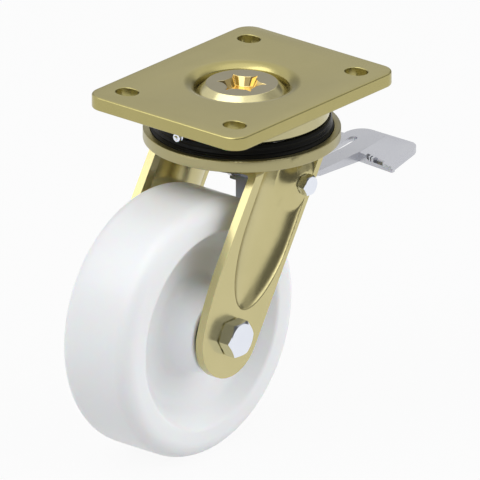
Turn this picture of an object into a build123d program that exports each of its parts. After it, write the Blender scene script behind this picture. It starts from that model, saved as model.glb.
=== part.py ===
"""Heavy duty swivel castor with a top plate, a pressed fork, a nylon wheel and a foot brake.

Millimetres. The origin is on the swivel axis at the top face of the plate. +Z is up, +X runs
along the axle and +Y points to the leading side, where the foot pedal is.
"""
from build123d import *
from math import acos, asin, atan2, cos, degrees, hypot, pi, radians, sin, sqrt, tan
import os

# Top plate
PLATE_X = 110.0
PLATE_Y = 140.0
PLATE_T = 8.0
PLATE_CORNER_R = 10.0
PLATE_EDGE_R = 1.0
SLOT_SPACING_X = 77.5
SLOT_SPACING_Y = 105.0
SLOT_LENGTH = 13.5
SLOT_WIDTH = 11.0
DISH_RIM_R = 33.5
DISH_ARC_R = 9.9
DISH_ARC_DEG = 45.0

# Kingpin
HEAD_TOP_DROP = 0.6
HEAD_GAP = 0.75
HEAD_CONE_W = 5.75
HEAD_CONE_H = 5.6
SHANK_R = 12.0
SPIGOT_R = 9.0
PEEN_GROW = 1.8
STAR_POINTS = 6
STAR_TIP_R = 14.2
STAR_WAIST_R = 8.6
STAR_DEPTH = 6.5
STAR_SHRINK = 0.62
STAR_TURN_DEG = 30.0

# Swivel bearing
FIT = 0.05
RING_R = 55.0
RING_H = 6.5
RING_LAND = 3.6
RING_LAND_STEP = 0.5
RING_EDGE_R = 0.5
RING_BORE_ROOM = 3.0
RACE_STEP_IN = 6.3
RACE_H = 10.6
RACE_EDGE_R = 1.2
POCKET_OUT_LAND = 3.0
POCKET_IN_WALL = 6.0
POCKET_H = 5.0
POCKET_OUT_SLOPE = 2.0
POCKET_IN_SLOPE = 1.0
UPPER_BALL_R = 5.0
UPPER_BALL_SPACING = 13.5
UPPER_GROOVE_LAND = 1.8
LOWER_BALL_R = 3.0
LOWER_BALL_SPACING = 7.7
LOWER_GROOVE_LAND = 1.0
BALL_CLEARANCE = 0.15
GROOVE_DEPTH = 1.0
LOWER_GROOVE_DEPTH = 0.85
CUP_ROOM = 0.6
CUP_T = 3.1
CUP_RIM_T = 1.8
CUP_RIM_GAP = 1.5
CUP_EDGE = 1.2

# Swivel seal
SEAL_W = 4.6
SEAL_CHANNEL_W = 5.6
SEAL_CHANNEL_H = 2.2
SEAL_SIDE_GAP = 0.4
SEAL_GAP = 0.3
SEAL_LIP_OVER = 0.5
SEAL_LIP_IN = 1.0
SEAL_WAIST_UP = 2.0
SEAL_WAIST_IN = 1.2
SEAL_WAIST_H = 0.6
SEAL_FOOT_EDGE = 1.0
SEAL_FOLD_UP = 0.8
SEAL_FOLD_OUT = 0.7

# Grease nipple
NIPPLE_UP = 2.2
NIPPLE_THREAD_R = 1.6
NIPPLE_THREAD_L = 5.5
NIPPLE_NECK_R = 1.9
NIPPLE_NECK_L = 2.9
NIPPLE_BODY_R = 2.6
NIPPLE_BODY_L = 4.9
NIPPLE_NOSE_R = 1.4
NIPPLE_EDGE = 0.5

# Wheel
WHEEL_R = 75.0
WHEEL_HALF_W = 25.0
WHEEL_ROOM = 4.7
TREAD_FLAT_X = 15.0
TREAD_CROWN = 0.5
TREAD_FALL = 1.25
TREAD_EDGE_R = 10.0
RIM_T = 18.0
RIM_LIP_R = 3.0
DISH_FLOOR_X = 10.5
DISH_OUT_SLOPE = 9.0
DISH_OUT_FILLET = 12.0
DISH_IN_SLOPE = 2.5
DISH_IN_FILLET = 7.0
HUB_STAND_OUT = 5.0
HUB_WALL = 2.4
HUB_EDGE_R = 1.5
HUB_SHOULDER = 2.5

# Wheel bearings and axle
BEARING_BORE_R = 10.0
BEARING_R = 21.0
BEARING_W = 12.0
BEARING_INSET = 1.0
BEARING_BALL_R = 3.2
BEARING_BALL_SPACING = 10.6
BEARING_GROOVE_DEPTH = 1.1
BEARING_EDGE_R = 0.8
SHIELD_T = 1.1
SHIELD_INSET = 0.5
SHIELD_GAP = 0.3
SPACER_WALL = 2.5
HUB_WASHER_T = 3.0
HUB_WASHER_WALL = 3.2
AXLE_Y = -55.0
AXLE_BOLT_R = 7.0
AXLE_HOLE_PLAY = 0.15
AXLE_HEAD_AF = 21.0
AXLE_HEAD_H = 8.3
AXLE_NUT_H = 11.0
AXLE_BOLT_STICK_OUT = 2.0
AXLE_WASHER_R = 14.0
AXLE_WASHER_T = 2.5
HEX_FACE_SHARE = 0.93
HEX_CHAMFER_DEG = 30.0
BOLT_END_SHARE = 0.12

# Fork
FORK_T = 5.0
FORK_BEND_R = 6.5
FORK_INNER_BEND_R = 1.6
CROWN_BORE_ROOM = 1.0
CROWN_LEAD_Y = 31.4
CROWN_REAR_Y = -30.3
FORK_REAR_SLOPE = 0.633
FORK_REAR_STRAIGHT_H = 49.0
EYE_R = 24.2
EYE_REAR_DEG = 165.0

# Pressed groove of each leg
GROOVE_HALF_W = 21.2
GROOVE_WALL = 4.4
GROOVE_ROOM = 1.4
GROOVE_TIP_AHEAD = 9.8
GROOVE_TIP_UP = 13.1
GROOVE_CROWN_Y = 1.7
GROOVE_NOSE_L = 46.0

# Pedal pivot
FACE_GAP = 0.1
PIVOT_BOLT_R = 4.0
PIVOT_HEAD_AF = 13.0
PIVOT_HEAD_H = 5.3
PIVOT_NUT_H = 6.5
PIVOT_BOLT_STICK_OUT = 1.5
PIVOT_SLEEVE_R = 5.0
PIVOT_SPACER_R = 7.0
PIVOT_BOSS_R = 7.0
PIVOT_BOSS_SET_BACK = 0.8
SPRING_WASHER_T = 0.8
SPRING_WASHER_DISH = 0.4

# Pedal
SHEET_T = 3.0
ARM_HALF_W = 12.4
ARM_ROOM = 0.5
ARM_FALL = 6.9
ARM_BEND_AHEAD = 44.8
ARM_BEND_R = 25.0
PIVOT_AHEAD = 3.8
TOE_AHEAD = 104.4
TOE_DEPTH = 25.4
TOE_REAR_RISE = 0.7
TOE_RISE = 3.3
TOE_REACH_X = 36.0
TOE_CORNER_DROP = 3.3
TOE_FAR_CORNER_R = 11.0
TOE_NEAR_CORNER_R = 6.5
TOE_REAR_CORNER_R = 1.2
TOE_STEP_IN = 2.2
TOE_STEP_BACK = 11.4
PEDAL_SLOT_W = 4.8
PEDAL_SLOT_X = -1.5
PEDAL_SLOT_AHEAD = 7.0
PEDAL_SLOT_END_BACK = 11.6
FLANGE_T = 2.4
FLANGE_DEPTH = 5.7
FLANGE_BEND_DEPTH = 0.3
FLANGE_START_BACK = 9.0
SKIRT_END_H = 3.4
SKIRT_RIM = 2.3
SKIRT_CUT_DEPTH = 2.0
SMALL_WINDOW_IN = 3.2
SMALL_WINDOW_W = 5.4
SMALL_WINDOW_TOP_W = 3.4
SMALL_WINDOW_FOOT_W = 1.6
SMALL_WINDOW_CORNER_IN = 2.2
SMALL_WINDOW_CORNER_UP = 1.2
WINDOW_BAR_W = 1.0
WINDOW_POST_W = 1.4
BIG_WINDOW_W = 6.8
EAR_R = 7.8
EAR_ROOM = 0.5
EAR_FRONT_DEG = 37.0
EAR_NOSE_BACK = 9.3
EAR_NOSE_UP = 5.6
EAR_NOSE_H = 4.0
EAR_TOP_BACK = 1.0
EAR_FOOT_AHEAD = 31.8
TAB_SIDE_ROOM = 1.3
TAB_DEPTH = 15.1
TAB_ROOM = 4.2
TAB_CORNER_R = 2.5
PRESS_STOP_GAP = 0.3

# Widths that follow from the sizes above, from the wheel outwards
HUB_HALF_W = WHEEL_HALF_W + HUB_STAND_OUT
LEG_INNER_X = HUB_HALF_W + HUB_WASHER_T
FORK_HALF_X = LEG_INNER_X + FORK_T
GROOVE_IN_X = WHEEL_HALF_W + GROOVE_ROOM
GROOVE_DEEP = FORK_HALF_X - GROOVE_WALL - GROOVE_IN_X
BOSS_IN_X = GROOVE_IN_X + PIVOT_BOSS_SET_BACK
BEARING_OUT_X = HUB_HALF_W - BEARING_INSET
BEARING_IN_X = BEARING_OUT_X - BEARING_W
BEARING_MID_X = BEARING_OUT_X - BEARING_W / 2
SPRING_WASHER_X0 = ARM_HALF_W + FACE_GAP
SPACER_IN_X = SPRING_WASHER_X0 + SPRING_WASHER_T + SPRING_WASHER_DISH + FACE_GAP

# Radii that follow
DISH_LIP_R = DISH_RIM_R - DISH_ARC_R * sin(radians(DISH_ARC_DEG))
HEAD_R = DISH_LIP_R - HEAD_GAP
HEAD_FLAT_R = HEAD_R - HEAD_CONE_W
RACE_R = RING_R - RACE_STEP_IN
RING_BORE_R = SHANK_R + RING_BORE_ROOM
CROWN_BORE_R = SHANK_R + CROWN_BORE_ROOM
SEAL_CHANNEL_OUT_R = RING_R - RING_LAND
SEAL_CHANNEL_IN_R = SEAL_CHANNEL_OUT_R - SEAL_CHANNEL_W
UPPER_PITCH_R = SEAL_CHANNEL_IN_R - UPPER_GROOVE_LAND - UPPER_BALL_R
UPPER_BALLS = int(2 * pi * UPPER_PITCH_R / UPPER_BALL_SPACING)
POCKET_OUT_R = UPPER_PITCH_R - UPPER_BALL_R - POCKET_OUT_LAND
POCKET_IN_R = SHANK_R + POCKET_IN_WALL
CUP_R = GROOVE_IN_X - CUP_ROOM
LOWER_PITCH_R = CUP_R - CUP_RIM_T - LOWER_GROOVE_LAND - LOWER_BALL_R
LOWER_BALLS = int(2 * pi * LOWER_PITCH_R / LOWER_BALL_SPACING)
BEARING_PITCH_R = (BEARING_BORE_R + BEARING_R) / 2
BEARING_BALLS = int(2 * pi * BEARING_PITCH_R / BEARING_BALL_SPACING)
INNER_RING_R = BEARING_PITCH_R - BEARING_BALL_R + BEARING_GROOVE_DEPTH
OUTER_RING_BORE_R = BEARING_PITCH_R + BEARING_BALL_R - BEARING_GROOVE_DEPTH
HUB_R = BEARING_R + HUB_WALL
HUB_CORE_R = BEARING_R - HUB_SHOULDER
RIM_IN_R = WHEEL_R - RIM_T
DISH_FLOOR_OUT_R = RIM_IN_R - DISH_OUT_SLOPE
DISH_FLOOR_IN_R = HUB_R + DISH_IN_SLOPE

# Levels that follow, from the plate downwards
DISH_LIP_Z = -DISH_ARC_R * (1 - cos(radians(DISH_ARC_DEG)))
RACE_TOP = -PLATE_T
RACE_BOTTOM = RACE_TOP - RACE_H
NIPPLE_Z = RACE_BOTTOM + NIPPLE_UP
UPPER_BALL_Z = RACE_BOTTOM + GROOVE_DEPTH - UPPER_BALL_R
RING_FACE = UPPER_BALL_Z - UPPER_BALL_R + GROOVE_DEPTH
RING_TOP = RING_FACE + RING_LAND_STEP
RING_BOTTOM = RING_TOP - RING_H
CROWN_TOP = RING_BOTTOM
CROWN_BOTTOM = CROWN_TOP - FORK_T
LOWER_BALL_Z = CROWN_BOTTOM - LOWER_BALL_R - BALL_CLEARANCE + LOWER_GROOVE_DEPTH
CUP_TOP = LOWER_BALL_Z - LOWER_BALL_R - BALL_CLEARANCE + LOWER_GROOVE_DEPTH
CUP_BOTTOM = CUP_TOP - CUP_T
AXLE_Z = CUP_BOTTOM - WHEEL_ROOM - WHEEL_R
GROOVE_TIP_Y = AXLE_Y + GROOVE_TIP_AHEAD
GROOVE_TIP_Z = AXLE_Z + GROOVE_TIP_UP

# The pedal's places that follow: its pivot under the lower race, its tab ahead of the tread
PIVOT_Z = CUP_BOTTOM - EAR_ROOM - EAR_R
PEDAL_REAR_Z = PIVOT_Z - PIVOT_SLEEVE_R - ARM_ROOM
ARM_BEND_Z = PEDAL_REAR_Z - ARM_FALL
TOE_REAR_Z = ARM_BEND_Z + TOE_REAR_RISE
TOE_END_Z = ARM_BEND_Z + TOE_RISE
FLANGE_END_Z = TOE_REAR_Z - FLANGE_DEPTH
TAB_BOTTOM_Z = PEDAL_REAR_Z - TAB_DEPTH
PEDAL_REAR_Y = AXLE_Y + sqrt(WHEEL_R ** 2 - (TAB_BOTTOM_Z - AXLE_Z) ** 2) + TAB_ROOM
PIVOT_Y = PEDAL_REAR_Y + PIVOT_AHEAD
ARM_BEND_Y = PIVOT_Y + ARM_BEND_AHEAD
TOE_END_Y = PIVOT_Y + TOE_AHEAD
TOE_REAR_Y = TOE_END_Y - TOE_DEPTH
TOE_STEP_Y = TOE_END_Y - TOE_STEP_BACK
TOE_FAR_X = TOE_STEP_IN - ARM_HALF_W
EAR_FOOT_Y = PIVOT_Y + EAR_FOOT_AHEAD
FLANGE_START_Y = ARM_BEND_Y - FLANGE_START_BACK
TAB_HALF_W = ARM_HALF_W - SHEET_T - TAB_SIDE_ROOM


def turned(points):
    """A solid turned about Z from a closed outline of (radius, height) points."""
    outline = Plane.XZ * Polyline(*points, close=True)
    return revolve(make_face(outline), Axis.Z)


def turned_on_x(points):
    """A solid turned about X from a closed outline of (x, radius) points."""
    outline = Polyline(*points, close=True)
    return revolve(make_face(outline), Axis.X)


def ring_on_x(outer_r, inner_r, x0, x1):
    """A plain tube along X."""
    return turned_on_x([(x0, inner_r), (x1, inner_r), (x1, outer_r), (x0, outer_r)])


def disc_on_x(radius, x0, x1, y=0.0, z=0.0):
    """A plain round bar along X through (y, z)."""
    face = Plane.YZ.offset(x0) * Pos(y, z) * Circle(radius)
    return extrude(face, x1 - x0)


def tube_on_x(outer_r, inner_r, x0, x1, y=0.0, z=0.0):
    """A tube along X through (y, z)."""
    face = Plane.YZ.offset(x0) * Pos(y, z) * (Circle(outer_r) - Circle(inner_r))
    return extrude(face, x1 - x0)


def torus_groove(pitch_r, groove_r, z):
    """The ring-shaped cutter of a ball groove about Z."""
    return Pos(0, 0, z) * Torus(pitch_r, groove_r)


def ball_row(count, ball_r, pitch_r, z):
    """Separate balls evenly round Z."""
    balls = []
    for index in range(count):
        angle = 2 * pi * index / count
        balls.append(Pos(pitch_r * cos(angle), pitch_r * sin(angle), z) * Sphere(ball_r))
    return Compound(children=balls)


def hexagon_head(across_flats, height, hole_r=0.0):
    """A hexagon block on the XY plane with its top corners turned off at 30 degrees."""
    corner_r = across_flats / 2 / cos(radians(30))
    block = extrude(RegularPolygon(corner_r, 6, rotation=30), height)
    face_r = across_flats / 2 * HEX_FACE_SHARE
    wide_r = 1.2 * corner_r
    drop = (wide_r - face_r) * tan(radians(HEX_CHAMFER_DEG))
    cone = turned([(0, 0), (wide_r, 0), (wide_r, height - drop), (face_r, height), (0, height)])
    head = block & cone
    if hole_r:
        head -= Cylinder(hole_r, 3 * height)
    return head


def star_outline(tip_r, waist_r):
    """A star with STAR_POINTS points about the origin."""
    points = []
    for index in range(2 * STAR_POINTS):
        radius = tip_r if index % 2 == 0 else waist_r
        angle = radians(STAR_TURN_DEG) + pi * index / STAR_POINTS
        points.append((radius * cos(angle), radius * sin(angle)))
    return make_face(Polyline(*points, close=True))


def top_plate():
    """The plate: rounded corners, four slots, and the dished round hole for the kingpin head."""
    blank = extrude(Pos(0, 0, -PLATE_T) * RectangleRounded(PLATE_X, PLATE_Y, PLATE_CORNER_R), PLATE_T)
    rims = blank.faces().sort_by(Axis.Z)[-1].edges() + blank.faces().sort_by(Axis.Z)[0].edges()
    blank = fillet(rims, PLATE_EDGE_R)
    half = radians(DISH_ARC_DEG / 2)
    arc_mid = (DISH_RIM_R - DISH_ARC_R * sin(half), DISH_ARC_R * (cos(half) - 1))
    above = PLATE_T
    below = -2 * PLATE_T
    line = Line((0, above), (DISH_RIM_R, above)) + Line((DISH_RIM_R, above), (DISH_RIM_R, 0))
    line += ThreePointArc((DISH_RIM_R, 0), arc_mid, (DISH_LIP_R, DISH_LIP_Z))
    line += Polyline((DISH_LIP_R, DISH_LIP_Z), (DISH_LIP_R, below), (0, below), (0, above))
    dish = revolve(make_face(Plane.XZ * line), Axis.Z)
    slot = extrude(Pos(0, 0, below) * SlotOverall(SLOT_LENGTH, SLOT_WIDTH), above - below)
    plate = blank - dish
    for side_x in (-1, 1):
        for side_y in (-1, 1):
            plate -= Pos(side_x * SLOT_SPACING_X / 2, side_y * SLOT_SPACING_Y / 2, 0) * slot
    return plate


def upper_race():
    """The fixed race under the plate, with its ball groove, grease pocket and nipple hole."""
    race = turned([
        (SHANK_R + FIT, RACE_TOP), (RACE_R, RACE_TOP),
        (RACE_R, RACE_BOTTOM + RACE_EDGE_R), (RACE_R - RACE_EDGE_R, RACE_BOTTOM),
        (POCKET_OUT_R, RACE_BOTTOM), (POCKET_OUT_R - POCKET_OUT_SLOPE, RACE_BOTTOM + POCKET_H),
        (POCKET_IN_R + POCKET_IN_SLOPE, RACE_BOTTOM + POCKET_H), (POCKET_IN_R, RACE_BOTTOM),
        (SHANK_R + FIT, RACE_BOTTOM),
    ])
    race -= torus_groove(UPPER_PITCH_R, UPPER_BALL_R + BALL_CLEARANCE, UPPER_BALL_Z)
    drill = Cylinder(NIPPLE_THREAD_R + FIT, 2 * NIPPLE_THREAD_L + 2 * FIT)
    return race - Pos(0, -RACE_R, NIPPLE_Z) * Rot(90, 0, 0) * drill


def grease_nipple():
    """Threaded stub, neck, round body and ball nose, pointing to the trailing side."""
    body_end = NIPPLE_NECK_L + NIPPLE_BODY_L
    edge = NIPPLE_EDGE
    nipple = turned([
        (0, -NIPPLE_THREAD_L), (NIPPLE_THREAD_R, -NIPPLE_THREAD_L), (NIPPLE_THREAD_R, 0),
        (NIPPLE_NECK_R, 0), (NIPPLE_NECK_R, NIPPLE_NECK_L), (NIPPLE_BODY_R - edge, NIPPLE_NECK_L),
        (NIPPLE_BODY_R, NIPPLE_NECK_L + edge), (NIPPLE_BODY_R, body_end - edge),
        (NIPPLE_BODY_R - edge, body_end), (0, body_end),
    ])
    nipple += Pos(0, 0, body_end) * Sphere(NIPPLE_NOSE_R)
    return Pos(0, -RACE_R, NIPPLE_Z) * Rot(90, 0, 0) * nipple


def kingpin():
    """Head with a pressed star, shank through the fork, and the end peened in the lower race."""
    peen_z = CUP_BOTTOM + PEEN_GROW
    pin = turned([
        (0, -HEAD_TOP_DROP), (HEAD_FLAT_R, -HEAD_TOP_DROP),
        (HEAD_R, -HEAD_TOP_DROP - HEAD_CONE_H), (HEAD_R, RACE_TOP),
        (SHANK_R, RACE_TOP), (SHANK_R, CUP_TOP), (SPIGOT_R, CUP_TOP),
        (SPIGOT_R, peen_z), (SPIGOT_R + PEEN_GROW, CUP_BOTTOM), (0, CUP_BOTTOM),
    ])
    rim = Pos(0, 0, -HEAD_TOP_DROP) * star_outline(STAR_TIP_R, STAR_WAIST_R)
    floor = Pos(0, 0, -HEAD_TOP_DROP - STAR_DEPTH) * star_outline(
        STAR_TIP_R * STAR_SHRINK, STAR_WAIST_R * STAR_SHRINK)
    return pin - loft([rim, floor], ruled=True)


def lower_race():
    """The cup under the fork crown that holds the lower balls, fixed on the kingpin's end."""
    bore_r = SPIGOT_R + FIT
    rim_top = CROWN_BOTTOM - CUP_RIM_GAP
    rim_in = CUP_R - CUP_RIM_T
    cup = turned([
        (bore_r, CUP_TOP), (rim_in, CUP_TOP), (rim_in, rim_top), (CUP_R, rim_top),
        (CUP_R, CUP_BOTTOM + CUP_EDGE), (CUP_R - CUP_EDGE, CUP_BOTTOM),
        (bore_r + PEEN_GROW, CUP_BOTTOM), (bore_r, CUP_BOTTOM + PEEN_GROW),
    ])
    return cup - torus_groove(LOWER_PITCH_R, LOWER_BALL_R + BALL_CLEARANCE, LOWER_BALL_Z)


def swivel_ring():
    """The fork's race: outer land, seal channel and ball groove."""
    channel_z = RING_FACE - SEAL_CHANNEL_H
    ring = turned([
        (RING_BORE_R, RING_BOTTOM), (RING_R, RING_BOTTOM), (RING_R, RING_TOP),
        (SEAL_CHANNEL_OUT_R, RING_TOP), (SEAL_CHANNEL_OUT_R, channel_z),
        (SEAL_CHANNEL_IN_R, channel_z), (SEAL_CHANNEL_IN_R, RING_FACE), (RING_BORE_R, RING_FACE),
    ])
    rims = [e for e in ring.edges().filter_by(GeomType.CIRCLE) if abs(e.radius - RING_R) < 0.01]
    ring = fillet(rims, RING_EDGE_R)
    return ring - torus_groove(UPPER_PITCH_R, UPPER_BALL_R + BALL_CLEARANCE, UPPER_BALL_Z)


def swivel_seal():
    """Rubber seal: a foot in the ring's channel and a lip that reaches up to the fixed race."""
    foot_z = RING_FACE - SEAL_CHANNEL_H
    foot_out = SEAL_CHANNEL_OUT_R - SEAL_SIDE_GAP
    inner = foot_out - SEAL_W
    lip_z = RACE_BOTTOM - SEAL_GAP
    waist_z = RING_TOP + SEAL_WAIST_UP
    waist_r = foot_out - SEAL_WAIST_IN
    waist_top = waist_z + SEAL_WAIST_H
    return turned([
        (inner, foot_z), (foot_out, foot_z), (foot_out, waist_z - SEAL_FOOT_EDGE), (waist_r, waist_z),
        (waist_r, waist_top), (waist_r + SEAL_FOLD_OUT, waist_top + SEAL_FOLD_UP),
        (RACE_R + SEAL_LIP_OVER, lip_z), (inner + SEAL_LIP_IN, lip_z), (inner, waist_z),
    ])


def leg_outline():
    """The fork seen from the side: crown, sloping edges and the round eye at the axle."""
    eye = (AXLE_Y, AXLE_Z)
    lead = (CROWN_LEAD_Y, CROWN_TOP)
    span = hypot(lead[0] - eye[0], lead[1] - eye[1])
    lean = atan2(lead[0] - eye[0], lead[1] - eye[1]) - asin(EYE_R / span)
    lead_foot = (eye[0] + EYE_R * cos(lean), eye[1] - EYE_R * sin(lean))
    rear = (CROWN_REAR_Y, CROWN_TOP)
    straight_end = (rear[0] - FORK_REAR_SLOPE * FORK_REAR_STRAIGHT_H, rear[1] - FORK_REAR_STRAIGHT_H)
    rear_turn = radians(EYE_REAR_DEG)
    rear_foot = (eye[0] + EYE_R * cos(rear_turn), eye[1] + EYE_R * sin(rear_turn))
    bottom_turn = (rear_turn + 2 * pi - lean) / 2
    bottom = (eye[0] + EYE_R * cos(bottom_turn), eye[1] + EYE_R * sin(bottom_turn))
    line = Line(lead, rear) + Line(rear, straight_end)
    line += TangentArc(straight_end, rear_foot, tangent=(-FORK_REAR_SLOPE, -1))
    line += ThreePointArc(rear_foot, bottom, lead_foot)
    line += Line(lead_foot, lead)
    return make_face(line)


def groove_body(grow):
    """The round-nosed trough of the pressed groove, made thicker by grow, for the +X leg."""
    rise = CROWN_TOP - GROOVE_TIP_Z
    lean = atan2(GROOVE_CROWN_Y - GROOVE_TIP_Y, rise)
    offset = (GROOVE_HALF_W ** 2 - GROOVE_DEEP ** 2) / (2 * GROOVE_DEEP)
    full_r = offset + GROOVE_DEEP
    nose_arc = (GROOVE_NOSE_L ** 2 + GROOVE_DEEP ** 2) / (2 * GROOVE_DEEP)
    mid_sag = nose_arc - sqrt(nose_arc ** 2 - (GROOVE_NOSE_L / 2) ** 2)
    start = (0, offset + grow)
    middle = (GROOVE_NOSE_L / 2, full_r - mid_sag + grow)
    shoulder = (GROOVE_NOSE_L, full_r + grow)
    far = rise / cos(lean) + GROOVE_HALF_W
    line = Line((0, 0), start) + ThreePointArc(start, middle, shoulder)
    line += Polyline(shoulder, (far, full_r + grow), (far, 0), (0, 0))
    trough = revolve(make_face(line), Axis.X)
    axis = Plane(origin=(FORK_HALF_X + offset, GROOVE_TIP_Y, GROOVE_TIP_Z),
                 x_dir=(0, sin(lean), cos(lean)), z_dir=(1, 0, 0))
    return axis * trough


def fork():
    """One pressed piece: crown plate, two bent legs, grooves, pivot bosses, eyes and bores."""
    height = CROWN_TOP - AXLE_Z + 2 * EYE_R
    length = 4 * (CROWN_LEAD_Y - AXLE_Y + EYE_R)
    outer = Pos(0, CROWN_TOP - height / 2) * Rectangle(2 * FORK_HALF_X, height)
    outer = fillet(outer.vertices().sort_by(Axis.Y)[-2:], FORK_BEND_R)
    inner = Pos(0, CROWN_BOTTOM - height / 2) * Rectangle(2 * LEG_INNER_X, height)
    inner = fillet(inner.vertices().sort_by(Axis.Y)[-2:], FORK_INNER_BEND_R)
    channel = extrude(Plane.XZ.offset(-length / 2) * (outer - inner), length)
    solid_block = extrude(Plane.XZ.offset(-length / 2) * outer, length)
    side = extrude(Plane.YZ.offset(-2 * FORK_HALF_X) * leg_outline(), 4 * FORK_HALF_X)
    body = channel & side
    bulge = groove_body(GROOVE_WALL) & side & solid_block
    boss = disc_on_x(PIVOT_BOSS_R, BOSS_IN_X, FORK_HALF_X, PIVOT_Y, PIVOT_Z) & side
    half_room = Pos(FORK_HALF_X, 0, CROWN_TOP) * Box(2 * FORK_HALF_X, length, 4 * height)
    half = (body & half_room) + bulge
    half = half - groove_body(0.0) + boss
    half -= disc_on_x(AXLE_BOLT_R + AXLE_HOLE_PLAY, 0, 2 * FORK_HALF_X, AXLE_Y, AXLE_Z)
    half -= disc_on_x(PIVOT_BOLT_R + FIT, 0, 2 * FORK_HALF_X, PIVOT_Y, PIVOT_Z)
    whole = half + mirror(half, Plane.YZ)
    whole -= Pos(0, 0, CROWN_TOP) * Cylinder(CROWN_BORE_R, 4 * FORK_T)
    return whole - torus_groove(LOWER_PITCH_R, LOWER_BALL_R + BALL_CLEARANCE, LOWER_BALL_Z)


def wheel():
    """Moulded wheel: crowned tread, round shoulders, dished sides, hub and bearing seats."""
    def half_profile(side):
        points = [
            (TREAD_FLAT_X, WHEEL_R - TREAD_CROWN), (WHEEL_HALF_W, WHEEL_R - TREAD_FALL),
            (WHEEL_HALF_W, RIM_IN_R), (DISH_FLOOR_X, DISH_FLOOR_OUT_R),
            (DISH_FLOOR_X, DISH_FLOOR_IN_R), (HUB_HALF_W, HUB_R), (HUB_HALF_W, BEARING_R),
            (BEARING_IN_X, BEARING_R), (BEARING_IN_X, HUB_CORE_R),
        ]
        return [(side * x, r) for x, r in points]

    right = half_profile(1)
    left = half_profile(-1)
    outline = make_face(Polyline(*(right + left[::-1]), close=True))

    def corners(x, r):
        return [v for v in outline.vertices() if abs(abs(v.X) - x) < 0.01 and abs(v.Y - r) < 0.01]

    for x, r, radius in (
        (WHEEL_HALF_W, WHEEL_R - TREAD_FALL, TREAD_EDGE_R),
        (WHEEL_HALF_W, RIM_IN_R, RIM_LIP_R),
        (DISH_FLOOR_X, DISH_FLOOR_OUT_R, DISH_OUT_FILLET),
        (DISH_FLOOR_X, DISH_FLOOR_IN_R, DISH_IN_FILLET),
        (HUB_HALF_W, HUB_R, HUB_EDGE_R),
    ):
        outline = fillet(corners(x, r), radius)
    return at_axle(revolve(outline, Axis.X))


def at_axle(shape):
    """Move a shape from the X axis onto the wheel's axle."""
    return Pos(0, AXLE_Y, AXLE_Z) * shape


def mirrored(shape, side):
    """The shape itself on the +X side, or its mirror image on the -X side."""
    return shape if side > 0 else mirror(shape, Plane.YZ)


def bearing_groove():
    """The ball track cutter of one wheel bearing, about the X axis."""
    return Pos(BEARING_MID_X, 0, 0) * Rot(0, 90, 0) * Torus(BEARING_PITCH_R, BEARING_BALL_R + BALL_CLEARANCE)


def bearing_inner_ring(side):
    """Inner ring of a wheel bearing, on the axle tube."""
    ring = ring_on_x(INNER_RING_R, BEARING_BORE_R + FIT, BEARING_IN_X, BEARING_OUT_X)
    return at_axle(mirrored(ring - bearing_groove(), side))


def bearing_outer_ring(side):
    """Outer ring of a wheel bearing, in the hub."""
    outer = BEARING_R - FIT
    inner = OUTER_RING_BORE_R
    edge = BEARING_EDGE_R
    ring = turned_on_x([
        (BEARING_IN_X, inner), (BEARING_OUT_X, inner), (BEARING_OUT_X, outer - edge),
        (BEARING_OUT_X - edge, outer), (BEARING_IN_X + edge, outer), (BEARING_IN_X, outer - edge),
    ])
    return at_axle(mirrored(ring - bearing_groove(), side))


def bearing_balls(side):
    """The ball set of one wheel bearing."""
    row = []
    for index in range(BEARING_BALLS):
        angle = 2 * pi * index / BEARING_BALLS
        place = (side * BEARING_MID_X, BEARING_PITCH_R * cos(angle), BEARING_PITCH_R * sin(angle))
        row.append(Pos(0, AXLE_Y, AXLE_Z) * Pos(*place) * Sphere(BEARING_BALL_R))
    return Compound(children=row)


def bearing_shields(side):
    """The two thin closing discs of a wheel bearing, held by the outer ring."""
    outer = OUTER_RING_BORE_R - FIT
    inner = INNER_RING_R + SHIELD_GAP
    far = ring_on_x(outer, inner, BEARING_OUT_X - SHIELD_INSET - SHIELD_T, BEARING_OUT_X - SHIELD_INSET)
    near = ring_on_x(outer, inner, BEARING_IN_X + SHIELD_INSET, BEARING_IN_X + SHIELD_INSET + SHIELD_T)
    return Compound(children=[at_axle(mirrored(far, side)), at_axle(mirrored(near, side))])


def axle_tube():
    """The tube between the legs that the bearings sit on."""
    bore = AXLE_BOLT_R + AXLE_HOLE_PLAY
    return at_axle(ring_on_x(BEARING_BORE_R, bore, -LEG_INNER_X, LEG_INNER_X))


def inner_spacer():
    """Keeps the two inner rings apart."""
    spacer_r = BEARING_BORE_R + SPACER_WALL
    return at_axle(ring_on_x(spacer_r, BEARING_BORE_R + FIT, -BEARING_IN_X, BEARING_IN_X))


def hub_washer(side):
    """Fills the space between an inner ring and its leg."""
    washer_r = BEARING_BORE_R + HUB_WASHER_WALL
    washer = ring_on_x(washer_r, BEARING_BORE_R + FIT, BEARING_OUT_X, LEG_INNER_X)
    return at_axle(mirrored(washer, side))


def bolt_on_x(shank_r, head_af, head_h, head_x, end_x, y, z):
    """A hexagon bolt along X: head outside at head_x, shank to end_x."""
    head = Pos(head_x, y, z) * Rot(0, 90, 0) * hexagon_head(head_af, head_h)
    shank = disc_on_x(shank_r, end_x, head_x, y, z)
    return head + chamfer(shank.faces().sort_by(Axis.X)[0].edges(), shank_r * BOLT_END_SHARE)


def nut_on_x(hole_r, across_flats, height, x, y, z):
    """A hexagon nut whose seat is at x and which stands out towards -X."""
    return Pos(x, y, z) * Rot(0, -90, 0) * hexagon_head(across_flats, height, hole_r)


def axle_bolt():
    """The axle bolt, head on the +X side."""
    end_x = -FORK_HALF_X - AXLE_WASHER_T - AXLE_NUT_H - AXLE_BOLT_STICK_OUT
    return bolt_on_x(AXLE_BOLT_R, AXLE_HEAD_AF, AXLE_HEAD_H, FORK_HALF_X, end_x, AXLE_Y, AXLE_Z)


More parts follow.
